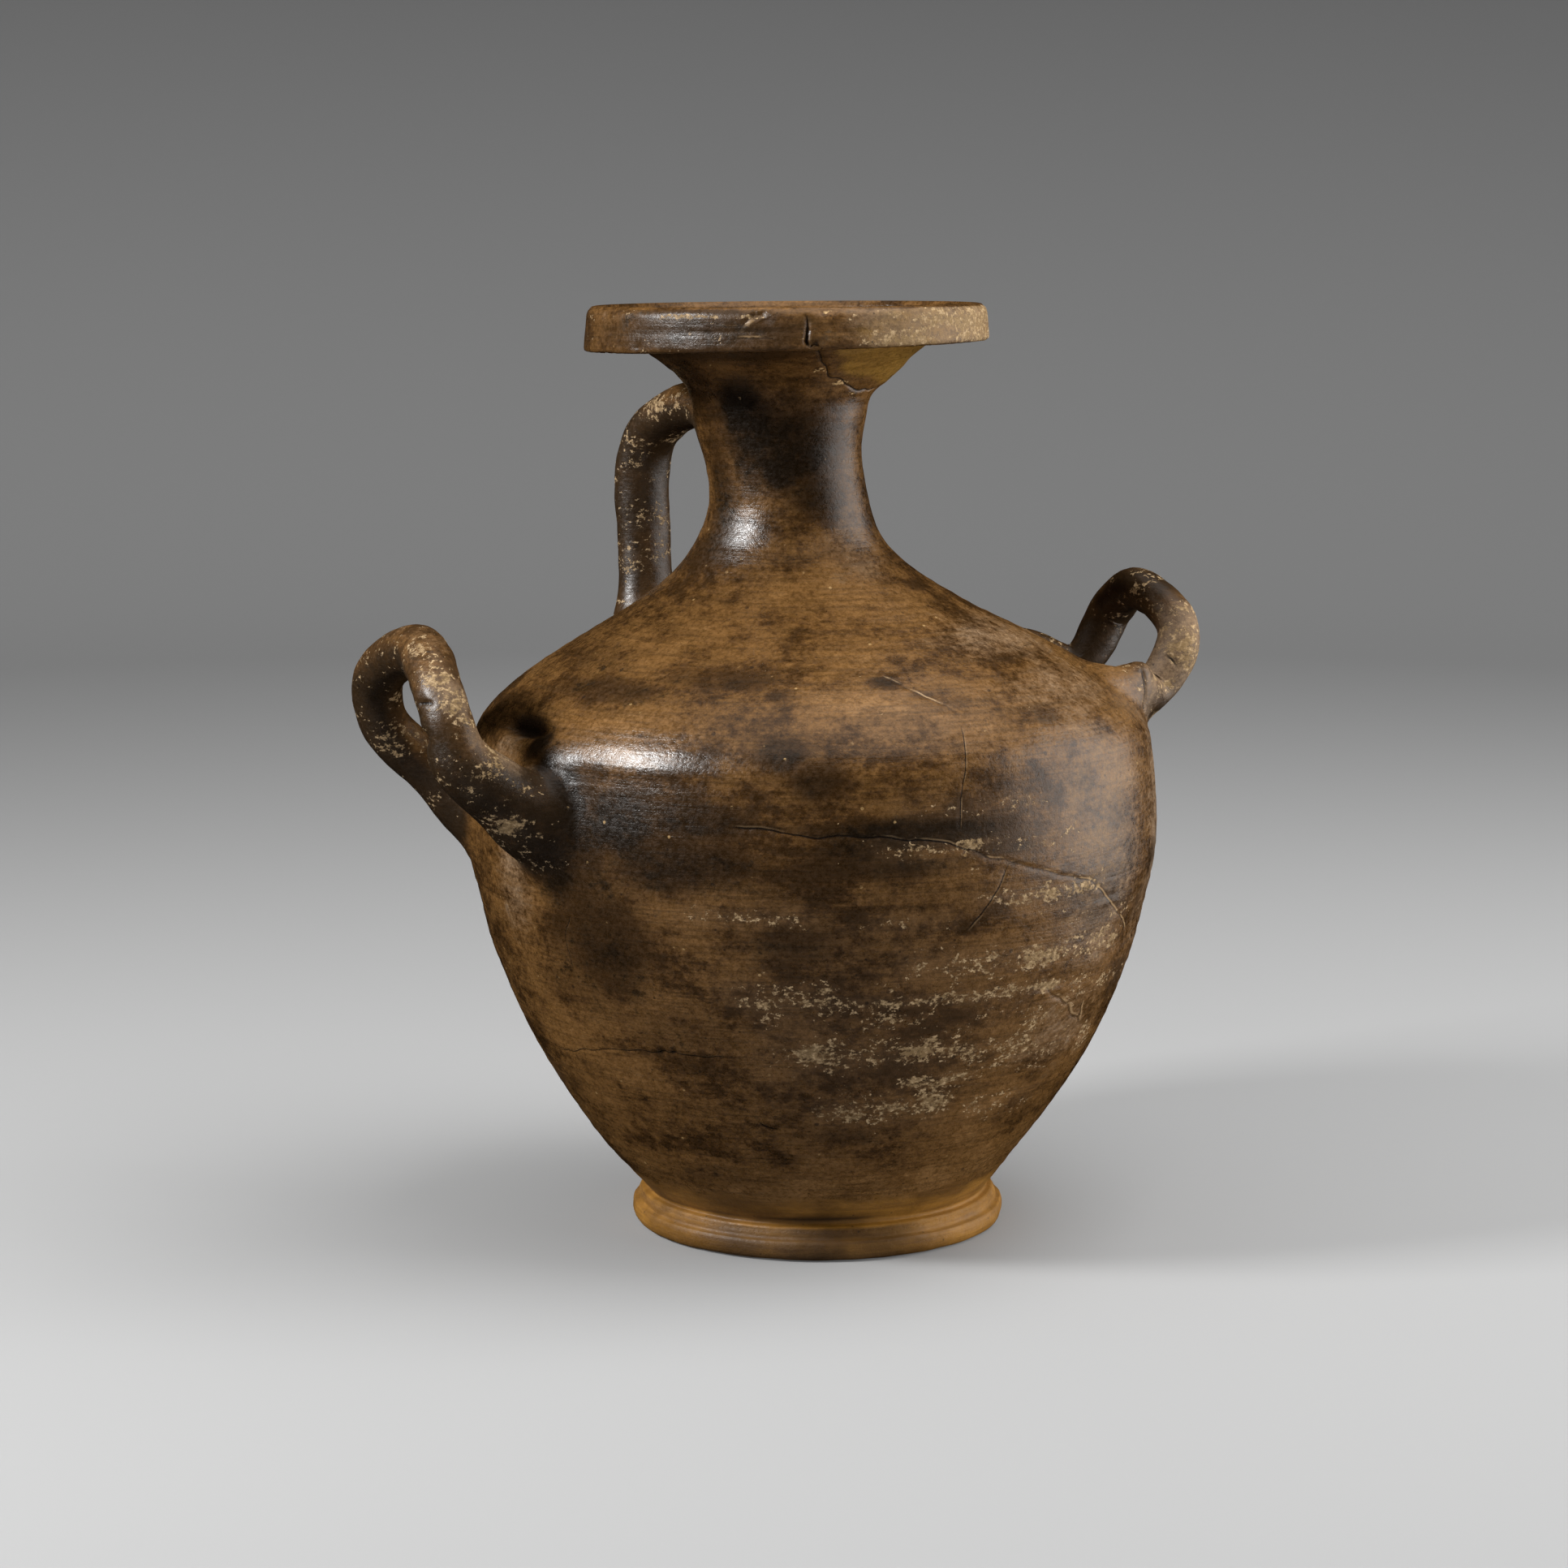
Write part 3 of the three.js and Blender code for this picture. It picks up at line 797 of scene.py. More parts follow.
def relief(spots, normals, crack_lines):
    """How far each point stands in (negative) or out, in mm."""
    s = spots
    along, turn = along_at(s.z), np.radians(s.bearing)
    wander = 1.3 * np.sin(turn + 1) + 0.5 * np.sin(along / 19)
    wheel = np.sin(2 * math.pi * along / WHEEL_MARKS + wander)
    wheel += 0.6 * np.sin(2 * math.pi * along / FINE_WHEEL_MARKS + 1.1 * np.sin(turn * 2))
    thrown = s.wall * (1 - s.handle)
    depth = -WHEEL_DEPTH * (1.6 - wheel) * (0.4 + rolling(s.points, 55, seed=3)) * thrown
    parts = dict(wall=s.wall, outside=s.outside, handle=s.handle, ends=s.ends)
    for where, deep, wavelength, flatter, seed in UNEVENNESS:
        depth -= deep * rolling(s.points * [1, 1, flatter], wavelength, seed) * parts[where]
    for bearing, z, half_width, half_height, out, edge in SWELLINGS:
        depth += out * s.within(bearing, z, half_width, half_height, edge)
    for point, radius, out in ROLL_SWELLINGS:
        depth += out * s.near(point, radius)
    for start, end, z, half_height, deep in GROOVES:
        depth -= deep * s.band(start, end, z, half_height)
    z, half, deep = FOOT_LINE
    depth -= deep * np.exp(-((s.z - z) / half) ** 2) * (s.r > FOOT_RADIUS - 4) * s.outside
    z, half, deep, deeper, past_joint = FOOT_LEDGE
    ledge = np.exp(-((s.z - z) / half) ** 2) * (s.r > FOOT_JOINT[0] + past_joint) * s.outside
    depth -= (deep + deeper * rolling(s.points, 3.2, seed=29)) * ledge
    chips = [(place_point(*chip[:2]), *chip[2:]) for chip in CHIPS] + ROLL_CHIPS
    for centre, radius, deep in chips:
        ragged = radius * (0.75 + 0.5 * rolling(s.points, 2.6, seed=23))
        away = np.linalg.norm(s.points - centre, axis=1)
        depth -= deep * (1 - ease(away, ragged * 0.45, ragged)) * s.outside
    for (side, run), (_, half, deep, _) in crack_lines:
        mouth = np.exp(-(side / (half + CRACK_SLOPE)) ** 2)
        depth -= deep * mouth * ease(run, 0, CRACK_END) * s.outside
    return depth


# Where each finish lies, and where painted shade and light lie with them

# Patches are (bearing, height, half width, half height, strength).
# Dark slip where kiln smoke blackened it, and painted shade and shadow where the jar's own shade
# falls.
SOOT_AND_SHADE = [
    # the rim and the neck; on the neck's left edge and just under the rim these are painted shade
    # as well as smoke
    (-140.0, 331.0, 60, 9, 0.6), (-167.0, 268.0, 11, 28, 0.6), (-112.0, 288.0, 26, 15, 0.9),
    (-95.0, 272.0, 16, 9, 0.6), (-52.0, 239.0, 10, 4, 0.5), (-141.0, 302.0, 9, 14, 1),
    (-130.0, 292.0, 10, 14, 1), (-118.0, 282.0, 11, 12, 0.95), (-140.0, 280.0, 9, 12, 0.7),
    # the shoulder; round the left handle's root, in the hollow above it and on the left slope
    # these are painted shadow
    (-157.0, 176.0, 5, 12, 0.9), (-172.0, 216.0, 22, 12, 0.4), (-119.6, 191.0, 12, 8, 0.7),
    (-113.5, 183.0, 12, 9, 0.6), (-99.7, 212.0, 7, 4, 0.8), (-93.0, 208.0, 5, 3, 0.6),
    (-131.0, 211.0, 6, 4, 0.7), (-122.0, 208.0, 5, 3, 0.6), (-68.7, 199.5, 9, 6, 0.7),
    (-56.6, 191.0, 7, 5, 0.5), (-65.0, 176.0, 6, 5, 0.6), (-175.0, 193.5, 13, 5, 1),
    (-165.5, 188.0, 7, 8, 1), (-161.5, 178.0, 7, 12, 1), (-160.0, 207.0, 30, 10, 0.6),
    (-136.0, 213.0, 26, 9, 0.45),
    # the belly and the lower body; beside and below the left handle's root these are painted
    # shadow as well as dark slip
    (-151.5, 160.0, 10, 22, 0.65), (-152.0, 128.0, 30, 46, 0.55), (-163.0, 152.0, 9, 14, 0.95),
    (-156.0, 166.0, 5, 12, 0.8), (-140.0, 90.0, 24, 16, 0.4), (-118.0, 140.0, 24, 20, 0.3),
    (-108.6, 158.0, 14, 8, 0.75), (-56.3, 163.0, 5, 4, 0.6), (-159.0, 158.0, 16, 34, 0.8),
    (-160.0, 114.0, 22, 30, 0.45), (-128.0, 101.0, 22, 10, 0.35), (-96.7, 75.0, 14, 7, 0.4),
    (-108.0, 52.0, 14, 6, 0.35), (-92.0, 171.0, 8, 4, 0.5), (-118.0, 128.0, 18, 9, 0.5),
    (-141.0, 32.0, 16, 7, 0.45), (-88.0, 98.0, 10, 5, 0.4), (-158.0, 171.0, 16, 13, 0.9),
    (-147.0, 165.0, 18, 14, 0.8), (-133.0, 168.0, 22, 8, 0.6), (-138.0, 151.0, 34, 13, 0.65),
    (-98.0, 164.0, 38, 6, 1), (-104.0, 153.0, 32, 6, 0.65), (-84.0, 158.0, 16, 5, 0.55),
    # the foot's joint: painted shade in the hollow where the body meets the foot
    (-116.0, 14.0, 26, 2.6, 1), (-97.0, 12.5, 16, 2, 0.7), (-136.0, 13.0, 14, 1.8, 0.6),
    # the far side
    (60.0, 150.0, 40, 30, 0.6), (20.0, 110.0, 30, 18, 0.5), (110.0, 180.0, 30, 16, 0.6),
    (140.0, 90.0, 34, 20, 0.5), (75.0, 75.0, 26, 12, 0.4), (95.0, 285.0, 24, 14, 0.6),
]
# Warmer, lighter patches of slip; those low on the right, bearings -75 to -60, also paint in light
# from the right.
WARM = [
    (-113.9, 221.5, 26, 12, 0.3), (-104.0, 206.0, 30, 8, 0.55), (-130.0, 205.0, 18, 7, 0.3),
    (-55.0, 224.0, 22, 14, 0.3), (-72.0, 90.0, 34, 22, 0.6), (-60.0, 68.0, 30, 16, 0.6),
    (-138.0, 157.0, 16, 8, 0.6), (-130.0, 143.0, 16, 8, 0.5), (-96.0, 143.0, 22, 9, 0.4),
    (-86.0, 196.0, 16, 8, 0.5), (-115.0, 30.0, 80, 16, 0.9), (-75.0, 120.0, 26, 12, 0.4),
    (-70.0, 228.0, 24, 8, 0.3), (-60.0, 45.0, 40, 14, 0.4), (-150.0, 60.0, 34, 16, 0.3),
    (40.0, 200.0, 40, 12, 0.5), (100.0, 120.0, 40, 16, 0.5), (150.0, 50.0, 40, 12, 0.5),
    (80.0, 24.0, 70, 8, 0.7), (-10.0, 60.0, 30, 16, 0.4), (-90.0, 312.0, 14, 8, 0.3),
]
OCHRE = [(-68.0, 317.5, 14, 8, 1.0), (-45.0, 316.0, 14, 9, 0.9), (-75.0, 330.0, 26, 9, 0.8),
         (-45.0, 331.0, 24, 9, 0.8)]
# Patches on the rolls: (finish, point, radius, strength).
# Dark patches beside the left handle's root and on its lower leg paint its shadow; pale ones on
# its near leg are partly a painted highlight from above.
ROLL_PATCHES = [
    ("pale", (131, -34, 209), 19, 0.9), ("pale", (141, -32, 217), 14, 0.9),
    ("pale", (114, -50, 197), 14, 0.6), ("worn", (139, -30, 226), 10, 1.1),
    ("pale", (-155, -42, 208), 12, 0.6), ("pale", (-146, -44, 195), 10, 0.6),
    ("pale", (-137, -42, 186), 8, 0.8), ("pale", (-128, -34, 182), 7, 0.6),
    ("worn", (136, -35, 212), 15, 1.05), ("worn", (124, -44, 203), 14, 0.95),
    ("soot_and_shade", (128, -2, 226), 18, 1.0), ("soot_and_shade", (136, -12, 231), 12, 1.0),
    ("soot_and_shade", (127, 20, 209), 13, 0.95), ("soot_and_shade", (129, -22, 221), 9, 0.7),
    ("worn", (-156, -35, 215), 13, 0.95), ("worn", (-154, -43, 206), 12, 0.95),
    ("worn", (-161, -14, 223), 10, 0.9), ("worn", (-145, -48, 190), 12, 0.85),
    ("worn", (-151, -46, 178), 6, 0.9), ("worn", (-137, -47, 164), 6, 0.85),
    ("worn", (-155, 37, 182), 10, 0.8), ("soot_and_shade", (-119, -46, 168), 14, 1.0),
    ("soot_and_shade", (-126, -46, 152), 10, 1.0), ("soot_and_shade", (-157, -34, 185), 14, 0.8),
    ("worn", (-37, 71, 299), 12, 0.9), ("worn", (-33, 66, 306), 8, 0.8),
    ("soot_and_shade", (-40, 84, 285), 20, 0.9), ("soot_and_shade", (-44, 92, 262), 22, 0.9),
    ("soot_and_shade", (-45, 94, 240), 20, 0.9), ("worn", (-48, 88, 285), 8, 0.9),
    ("worn", (-52, 96, 268), 7, 0.8), ("worn", (-54, 97, 246), 8, 0.9),
    ("worn", (-36, 90, 262), 7, 0.8), ("worn", (-38, 88, 240), 9, 0.85),
]
# Paler patches of dusty soil; those on the right side, bearings -75 to -34, also paint in the
# broad sheen of the light from the right.
PALE = [(-60.0, 160.0, 34, 62, 0.5), (-62.0, 84.0, 34, 22, 0.4), (-50.0, 222.0, 44, 20, 0.5),
        (-34.0, 150.0, 24, 60, 0.5), (-176.0, 184.0, 14, 8, 0.5), (-172.0, 146.0, 16, 36, 0.5),
        (-56.0, 206.0, 44, 16, 0.45), (-75.0, 255.0, 12, 24, 0.35)]
FILLER = [(-96.0, 314.6, 5, 4.0, 0.95), (-82.0, 310.6, 6, 1.8, 0.8), (-68.0, 305.8, 8, 2.0, 0.9),
          (-52.0, 306.8, 6, 1.6, 0.7), (-104.4, 337.6, 3.2, 1.8, 0.9)]
# Worn bands are (bearing from, bearing to, height, half height, strength). Those of the last
# two rows are on the far side.
WORN_BANDS = [
    (-126, -70, 104.6, 3.6, 1.0), (-128, -112, 109.5, 4.0, 0.75), (-100, -52, 117.0, 7.0, 0.8),
    (-116, -92, 84.0, 9.0, 0.95), (-93, -64, 83.0, 9.0, 0.8), (-113, -88, 63.0, 8.0, 0.85),
    (-98, -84, 72.6, 5.0, 0.8), (-80, -64, 60.0, 6.0, 0.75), (-86, -62, 139.5, 5.5, 0.8),
    (-133, -117, 135.4, 3.4, 0.75), (-72, -42, 127.0, 5.0, 0.7), (-64, -38, 100.0, 7.0, 0.65),
    (-106, -94, 133.0, 4.0, 0.65), (-122, -60, 90.0, 26.0, 0.55), (-150, -122, 335.6, 1.1, 1.0),
    (-104, -70, 158.0, 6.0, 0.6), (-100, -78, 172.0, 5.0, 0.6),
    (20, 70, 100.0, 6.0, 0.8), (90, 130, 84.0, 8.0, 0.75), (60, 110, 128.0, 5.0, 0.6),
    (150, 175, 62.0, 6.0, 0.7),
]
WORN_SPOT = (-50.0, 78.0, 8, 9, 0.85)  # a patch like those above, low on the right
# The rim's worn side: its middle bearing, and the degrees to where it starts and stops to fade.
WORN_RIM, WORN_RIM_FULL, WORN_RIM_FADED = -28.0, 52.0, 88.0
WORN_JOINT, WORN_JOINT_HALF = 11.2, 1.6  # height and half height of the worn foot joint
BARE_WALL, BARE_WALL_HALF = 14.0, 13.0  # the slip thins out over the foot round this height


def finishes(spots, normals, crack_lines):
    """The share of each finish at each point, by name, painted shade and light among them."""
    s = spots
    soot_and_shade, warm, ochre, filler, worn, pale = (np.zeros(len(s.z)) for _ in range(6))
    for layer, patches in ((soot_and_shade, SOOT_AND_SHADE), (warm, WARM), (ochre, OCHRE), (pale, PALE),
                           (filler, FILLER)):
        for bearing, z, half_width, half_height, strength in patches:
            layer[:] = np.maximum(layer, strength * s.within(bearing, z, half_width, half_height))
    for start, end, z, half_height, strength in WORN_BANDS:
        worn = np.maximum(worn, strength * s.band(start, end, z, half_height))
    rim_side = (1 - ease(np.abs(s.turn_from(WORN_RIM)), WORN_RIM_FULL, WORN_RIM_FADED)) * s.rim
    joint = np.exp(-((s.z - WORN_JOINT) / WORN_JOINT_HALF) ** 2) * s.outside
    spot = s.within(*WORN_SPOT[:4])
    for place, strength in ((rim_side, 0.9), (s.rim, 0.35), (s.handle, 0.5), (joint, 0.9),
                            (spot, WORN_SPOT[4])):
        worn = np.maximum(worn, strength * place)
    # Painted shade: the handles' undersides are darkened with the dark smoke layer.
    underneath = 1 - ease(normals[:, 2], -0.3, 0.45)
    soot_and_shade = np.maximum(soot_and_shade, 0.9 * s.handle * underneath)
    # Painted light: the upward-facing tops of the left handle are made paler.
    lit_left_top = ease(-s.points[:, 0], 60, 90) * s.handle * ease(normals[:, 2], 0.3, 0.8)
    for place, strength in ((rim_side, 0.7), (lit_left_top, 0.3)):
        pale = np.maximum(pale, strength * place)
    layers = dict(soot_and_shade=soot_and_shade, worn=worn, pale=pale)
    for name, point, radius, strength in ROLL_PATCHES:
        layer = layers[name]
        layer[:] = np.maximum(layer, strength * s.near(point, radius))
    soot_and_shade *= 1 - 0.8 * pale
    cavity = s.hollow().astype(float)
    over_foot = np.exp(-((s.z - BARE_WALL) / BARE_WALL_HALF) ** 2) * s.wall * (1 - cavity)
    bare = np.maximum(s.foot, 0.72 * over_foot)
    bare = np.maximum(bare, 0.75 * cavity * (s.z < COLLAR_HEIGHT))
    side, run, lip = np.full(len(s.z), 3.0), np.zeros(len(s.z)), np.zeros(len(s.z))
    for (crack_side, crack_run), (places, half, _, light) in crack_lines:
        near = np.abs(crack_side) < np.minimum(np.abs(side), 3)
        side[near] = (crack_side * CRACK_HALF / half)[near]
        fading = ease(crack_run, 0, 4) * (1 - ease(np.abs(crack_side), LIP_FULL, LIP_FADED))
        run = np.maximum(run, fading * s.outside)
        if places is LONG_CRACK:
            turn = s.turn_from(LONG_CRACK_PALE_FROM)
            light = light + (1 - light) * ease(turn, 0, LONG_CRACK_PALE_IN)
        lip = np.maximum(lip, light * fading * s.outside)
    return dict(soot_and_shade=soot_and_shade, warm=warm, ochre=ochre, filler=filler, worn=worn, pale=pale, bare=bare,
                cavity=cavity, crack_side=side, crack_run=run, crack_lip=lip)


# The fired clay piece
CRACK_CELL = 2.4  # faces of the mesh nearer to a crack than this, in mm, are divided


def finely_divided(points, faces, handle_share, crack_lines):
    """Divides the faces beside the cracks, so that each crack is cut in the mesh itself."""
    mesh = bpy.data.meshes.new("hydria_clay")
    mesh.from_pydata(points.tolist(), [], faces)
    share = mesh.attributes.new("handle_share", "FLOAT", "POINT")
    share.data.foreach_set("value", handle_share)
    shaped = bmesh.new()
    shaped.from_mesh(mesh)
    shaped.verts.ensure_lookup_table()
    away = np.full(len(points), 1e9)
    for line in crack_lines:
        for a, b in zip(line, line[1:]):
            t = np.clip((points - a) @ (b - a) / ((b - a) @ (b - a)), 0, 1)
            away = np.minimum(away, np.linalg.norm(points - a - t[:, None] * (b - a), axis=1))
    near = [f for f in shaped.faces if min(away[v.index] for v in f.verts) < CRACK_CELL]
    edges = list({e for f in near for e in f.edges})
    bmesh.ops.subdivide_edges(shaped, edges=edges, cuts=2, use_grid_fill=True)
    bmesh.ops.triangulate(shaped, faces=[f for f in shaped.faces if len(f.verts) > 4])
    shaped.to_mesh(mesh)
    shaped.free()
    count = len(mesh.vertices)
    flat = np.zeros(count * 3, np.float32)
    mesh.vertices.foreach_get("co", flat)
    shares = np.zeros(count, np.float32)
    mesh.attributes["handle_share"].data.foreach_get("value", shares)
    mesh.attributes.remove(mesh.attributes["handle_share"])
    return mesh, flat.reshape(-1, 3).astype(float), shares.astype(float)


def hydria_clay():
    """The jar as one closed skin of clay, with its relief in the mesh and finishes in layers."""
    points, faces, handle_share = vessel_with_handles()
    used = sorted({int(v) for f in faces for v in f})
    place = {v: i for i, v in enumerate(used)}
    faces = [[place[int(v)] for v in f] for f in faces]
    skin = BVHTree.FromPolygons(points[used].tolist(), faces)
    lines = [wandering(crack[0], FIRST_CRACK_SEED + k) for k, crack in enumerate(CRACKS)]
    lines += [laid_on(crack[0], skin) for crack in ROLL_CRACKS]
    mesh, points, handle_share = finely_divided(points[used], faces, handle_share[used], lines)
    faces = [list(p.vertices) for p in mesh.polygons]
    normals = vertex_normals(points, faces)
    spots = Spots(points, handle_share)
    cracks = zip(lines, CRACKS + ROLL_CRACKS)
    crack_lines = [(beside(points, normals, line), crack) for line, crack in cracks]
    points = points + normals * relief(spots, normals, crack_lines)[:, None]
    points[:, 2] = np.maximum(points[:, 2], 0)
    low, high = (np.array(corner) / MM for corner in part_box("hydria"))
    points = np.clip(points, low, high)
    mesh.vertices.foreach_set("co", (points * MM).astype(np.float32).ravel())
    for name, values in finishes(spots, normals, crack_lines).items():
        layer = mesh.attributes.new(name, "FLOAT", "POINT")
        layer.data.foreach_set("value", np.asarray(values, np.float32))
    mesh.update()
    mesh.shade_smooth()
    jar = bpy.data.objects.new("hydria_clay", mesh)
    bpy.context.scene.collection.objects.link(jar)
    return jar


# Materials
def srgb(code):
    """A hex colour as linear values."""
    parts = [int(code[i:i + 2], 16) / 255 for i in (1, 3, 5)]
    return [p / 12.92 if p <= 0.04045 else ((p + 0.055) / 1.055) ** 2.4 for p in parts] + [1.0]


def add(tree, kind, inputs=(), out=0, **settings):
    """Adds a node with its settings and links, and gives the output to link on from.

    Each input is a value or another node's output."""
    node = tree.nodes.new("ShaderNode" + kind)
    for name, value in settings.items():
        setattr(node, name, value)
    for key, value in dict(inputs).items():
        if isinstance(value, bpy.types.NodeSocket):
            tree.links.new(value, node.inputs[key])
        else:
            node.inputs[key].default_value = value
    return node.outputs[out] if node.outputs else node


# Uneven patterns by name: size of a feature in mm, how they are drawn out along X, Y and Z,
# detail, roughness, and a shift in mm that keeps them apart.
PATTERNS = {
    "clouds": (36.0, (0.6, 0.6, 1.0), 4.0, 0.6, (0, 0, 0)),
    "mottle": (10.0, (0.62, 0.62, 1.0), 6.0, 0.78, (31, 7, 3)),
    "grain": (2.6, (0.7, 0.7, 1.0), 3.0, 0.75, (14, 3, 6)),
    # Rubbing marks are about 0.3 mm wide on the real skin, drawn at 0.9 mm to show.
    "rubbing": (0.9, (0.035, 0.035, 1.0), 2.0, 0.6, (5, 5, 5)),
    # Grit in the clay is 0.3 to 1 mm across, drawn at 1.6 mm and under.
    "grit": (1.6, (0.85, 0.85, 1.0), 3.0, 0.8, (11, 2, 8)),
    "crumbs": (1.7, (0.8, 0.8, 1.1), 3.0, 0.72, (2, 9, 4)),
    "scaling": (8.0, (0.6, 0.6, 1.2), 2.0, 0.6, (9, 1, 5)),
    "turning": (1.4, (0.05, 0.05, 1.0), 4.0, 0.6, (3, 3, 7)),
    "firing": (16.0, (0.5, 0.5, 1.0), 4.0, 0.6, (8, 8, 1)),
    "edge": (5.0, (0.4, 0.4, 1.0), 4.0, 0.6, (1, 6, 2)),
}
# Scattered spots by name: how far apart in mm, and a shift in mm. Pinholes are 0.4 mm across on
# the real jar, drawn at 0.7 mm and more to show.
SCATTER = {"flakes": (8.0, (3, 3, 3)), "pinholes": (6.5, (0, 0, 0)), "pits": (17.0, (9, 2, 5))}
LAYERS = ("soot_and_shade", "warm", "ochre", "filler", "worn", "pale", "bare", "cavity", "crack_side",
          "crack_run", "crack_lip")


def clay_patterns(tree):
    """The sockets of every pattern and finish layer by name, measured on the jar itself."""
    place = add(tree, "TexCoord", out="Object")
    at = {}
    for name, (size, stretch, detail, rough, shift) in PATTERNS.items():
        spot = add(tree, "Mapping", {"Vector": place, "Location": shift,
                                     "Scale": [part / MM for part in stretch]})
        at[name] = add(tree, "TexNoise", {"Vector": spot, "Scale": 1 / size, "Detail": detail,
                                          "Roughness": rough})
    for name, (apart, shift) in SCATTER.items():
        spot = add(tree, "Mapping", {"Vector": place, "Location": shift, "Scale": [1 / MM] * 3})
        at[name] = add(tree, "TexVoronoi", {"Vector": spot, "Scale": 1 / apart})
    for name in LAYERS:
        at[name] = add(tree, "Attribute", out="Fac", attribute_name=name)
    at["off_crack"] = add(tree, "Math", {0: at["crack_side"]}, operation="ABSOLUTE")
    return at


def stepped(tree, at, weights, start, full, least=0.0, most=1.0):
    """A weighted sum of patterns, turned softly from least at the start to most where full."""
    total = 0.0
    for name, weight in weights.items():
        total = add(tree, "Math", {0: at[name], 1: weight, 2: total}, operation="MULTIPLY_ADD")
    return add(tree, "MapRange", {"Value": total, "From Min": start, "From Max": full,
                                  "To Min": least, "To Max": most},
               interpolation_type="SMOOTHSTEP")


def laid_over(tree, colour, coats):
    """The colour after each coat is laid over it: how far it covers, how strongly, its colour."""
    for cover, strength, over in coats:
        share = add(tree, "Math", {0: cover, 1: strength}, operation="MULTIPLY")
        colour = add(tree, "Mix", {0: share, 6: colour, 7: over}, out=2, data_type="RGBA")
    return colour


def gritty(tree, at, colour, darkest, lightest):
    """The colour, darker and lighter by shares where grit lies under the skin."""
    shade = stepped(tree, at, {"grit": 1.0}, 0.34, 0.66, darkest, lightest)
    return add(tree, "Mix", {0: 1.0, 6: colour, 7: shade}, out=2, data_type="RGBA",
               blend_type="MULTIPLY")


def burnished_slip(tree, at):
    """Fine iron-rich slip, rubbed with a smooth stone before firing and smoked in the kiln.

    It gives the eye a brown-black satin skin, clouded orange-brown where the smoke was thin,
    with level hairlines from the wheel. Its near-black coat is also painted shade where shadow
    falls."""
    warmth = {"clouds": 1.0, "mottle": 1.0, "grain": 0.45, "warm": 0.2, "soot_and_shade": -0.24}
    # The near-black coat follows the dark smoke layer, so it also lays painted shade and shadow.
    smoke = {"soot_and_shade": 1.0, "mottle": 2.4, "grain": 1.08}
    skin = laid_over(tree, srgb("#422b12"), [
        (stepped(tree, at, warmth, 1.08, 1.36), 1.0, srgb("#684925")),
        (stepped(tree, at, warmth, 1.36, 1.54), 1.0, srgb("#7c5a33")),
        (stepped(tree, at, warmth, 1.19, 1.00), 0.5, srgb("#241706")),
        (stepped(tree, at, smoke, 2.0, 2.68), 0.94, srgb("#170e04")),
        (stepped(tree, at, {"rubbing": 1.0}, 0.40, 0.75), 0.4, srgb("#1f1508")),
    ])
    skin = gritty(tree, at, skin, 0.78, 1.26)
    flakes = add(tree, "Math", {0: stepped(tree, at, {"flakes": 1.0}, 0.09, 0.05),
                                1: stepped(tree, at, {"mottle": 1.0}, 0.48, 0.58)},
                 operation="MULTIPLY")
    return laid_over(tree, skin, [(flakes, 0.75, srgb("#a98a5c"))])


def cleared_slip(tree, at, below):
    """Slip that the flame burned clear of smoke: ochre-tan and gritty."""
    tan = laid_over(tree, srgb("#65461a"), [(at["edge"], 1.0, srgb("#94702f"))])
    tan = gritty(tree, at, tan, 0.75, 1.25)
    cleared = stepped(tree, at, {"ochre": 1.0, "edge": 0.5}, 0.42, 0.85)
    return laid_over(tree, below, [(cleared, 0.85, tan)])


def soil_film_and_sheen(tree, at, below):
    """Dried soil on the slip, dusty grey-tan and matt, also painting sheen on the right and lit
    handle tops. Its cover comes with it.
    """
    grains = stepped(tree, at, {"grit": 1.0}, 0.34, 0.66)
    dust_and_sheen = laid_over(tree, srgb("#614f3d"), [(grains, 1.0, srgb("#8d765c"))])
    film_and_sheen = stepped(tree, at, {"pale": 1.0, "mottle": 1.3, "grain": 0.585}, 1.15, 1.85)
    return laid_over(tree, below, [(film_and_sheen, 0.75, dust_and_sheen)]), film_and_sheen


def worn_slip(tree, at, below):
    """Slip rubbed and scaled away over ridges, so that the pale orange body shows in crumbs."""
    lighter = stepped(tree, at, {"crumbs": 1.0}, 0.48, 0.74)
    crumbs = laid_over(tree, srgb("#7d6440"), [(lighter, 1.0, srgb("#b99d76"))])
    scaled = stepped(tree, at, {"worn": 0.4, "crumbs": 1.0, "scaling": 0.8}, 1.23, 1.33)
    coats = [(at["worn"], 0.22, srgb("#6b5033")), (scaled, 0.9, crumbs)]
    return laid_over(tree, below, coats), scaled


def bare_clay(tree, at, below):
    """Fired clay left without slip: orange-tan and matt, with level turning marks, darkened under
    smoke patches, which at the foot's joint are painted shade.
    """
    clay = laid_over(tree, srgb("#6b4812"), [
        (stepped(tree, at, {"firing": 1.0}, 0.35, 0.65), 1.0, srgb("#9a6c28")),
        (stepped(tree, at, {"turning": 1.0}, 0.40, 0.72), 0.5, srgb("#5d3d1a")),
    ])
    bare = stepped(tree, at, {"bare": 1.0, "edge": 0.6}, 0.62, 0.98)
    dirt_and_shade = add(tree, "Math", {0: bare, 1: at["soot_and_shade"]}, operation="MULTIPLY")
    return laid_over(tree, below, [(bare, 1.0, clay), (dirt_and_shade, 0.85, srgb("#20130a"))]), bare


def plaster_mend(tree, at, below):
    """Old plaster rubbed into cracks and chips: pale tan and matt, crumbling at its edges."""
    filled = stepped(tree, at, {"filler": 0.52, "crumbs": 1.0, "scaling": 0.8}, 1.26, 1.34)
    return laid_over(tree, below, [(filled, 0.9, srgb("#b9996a"))]), filled


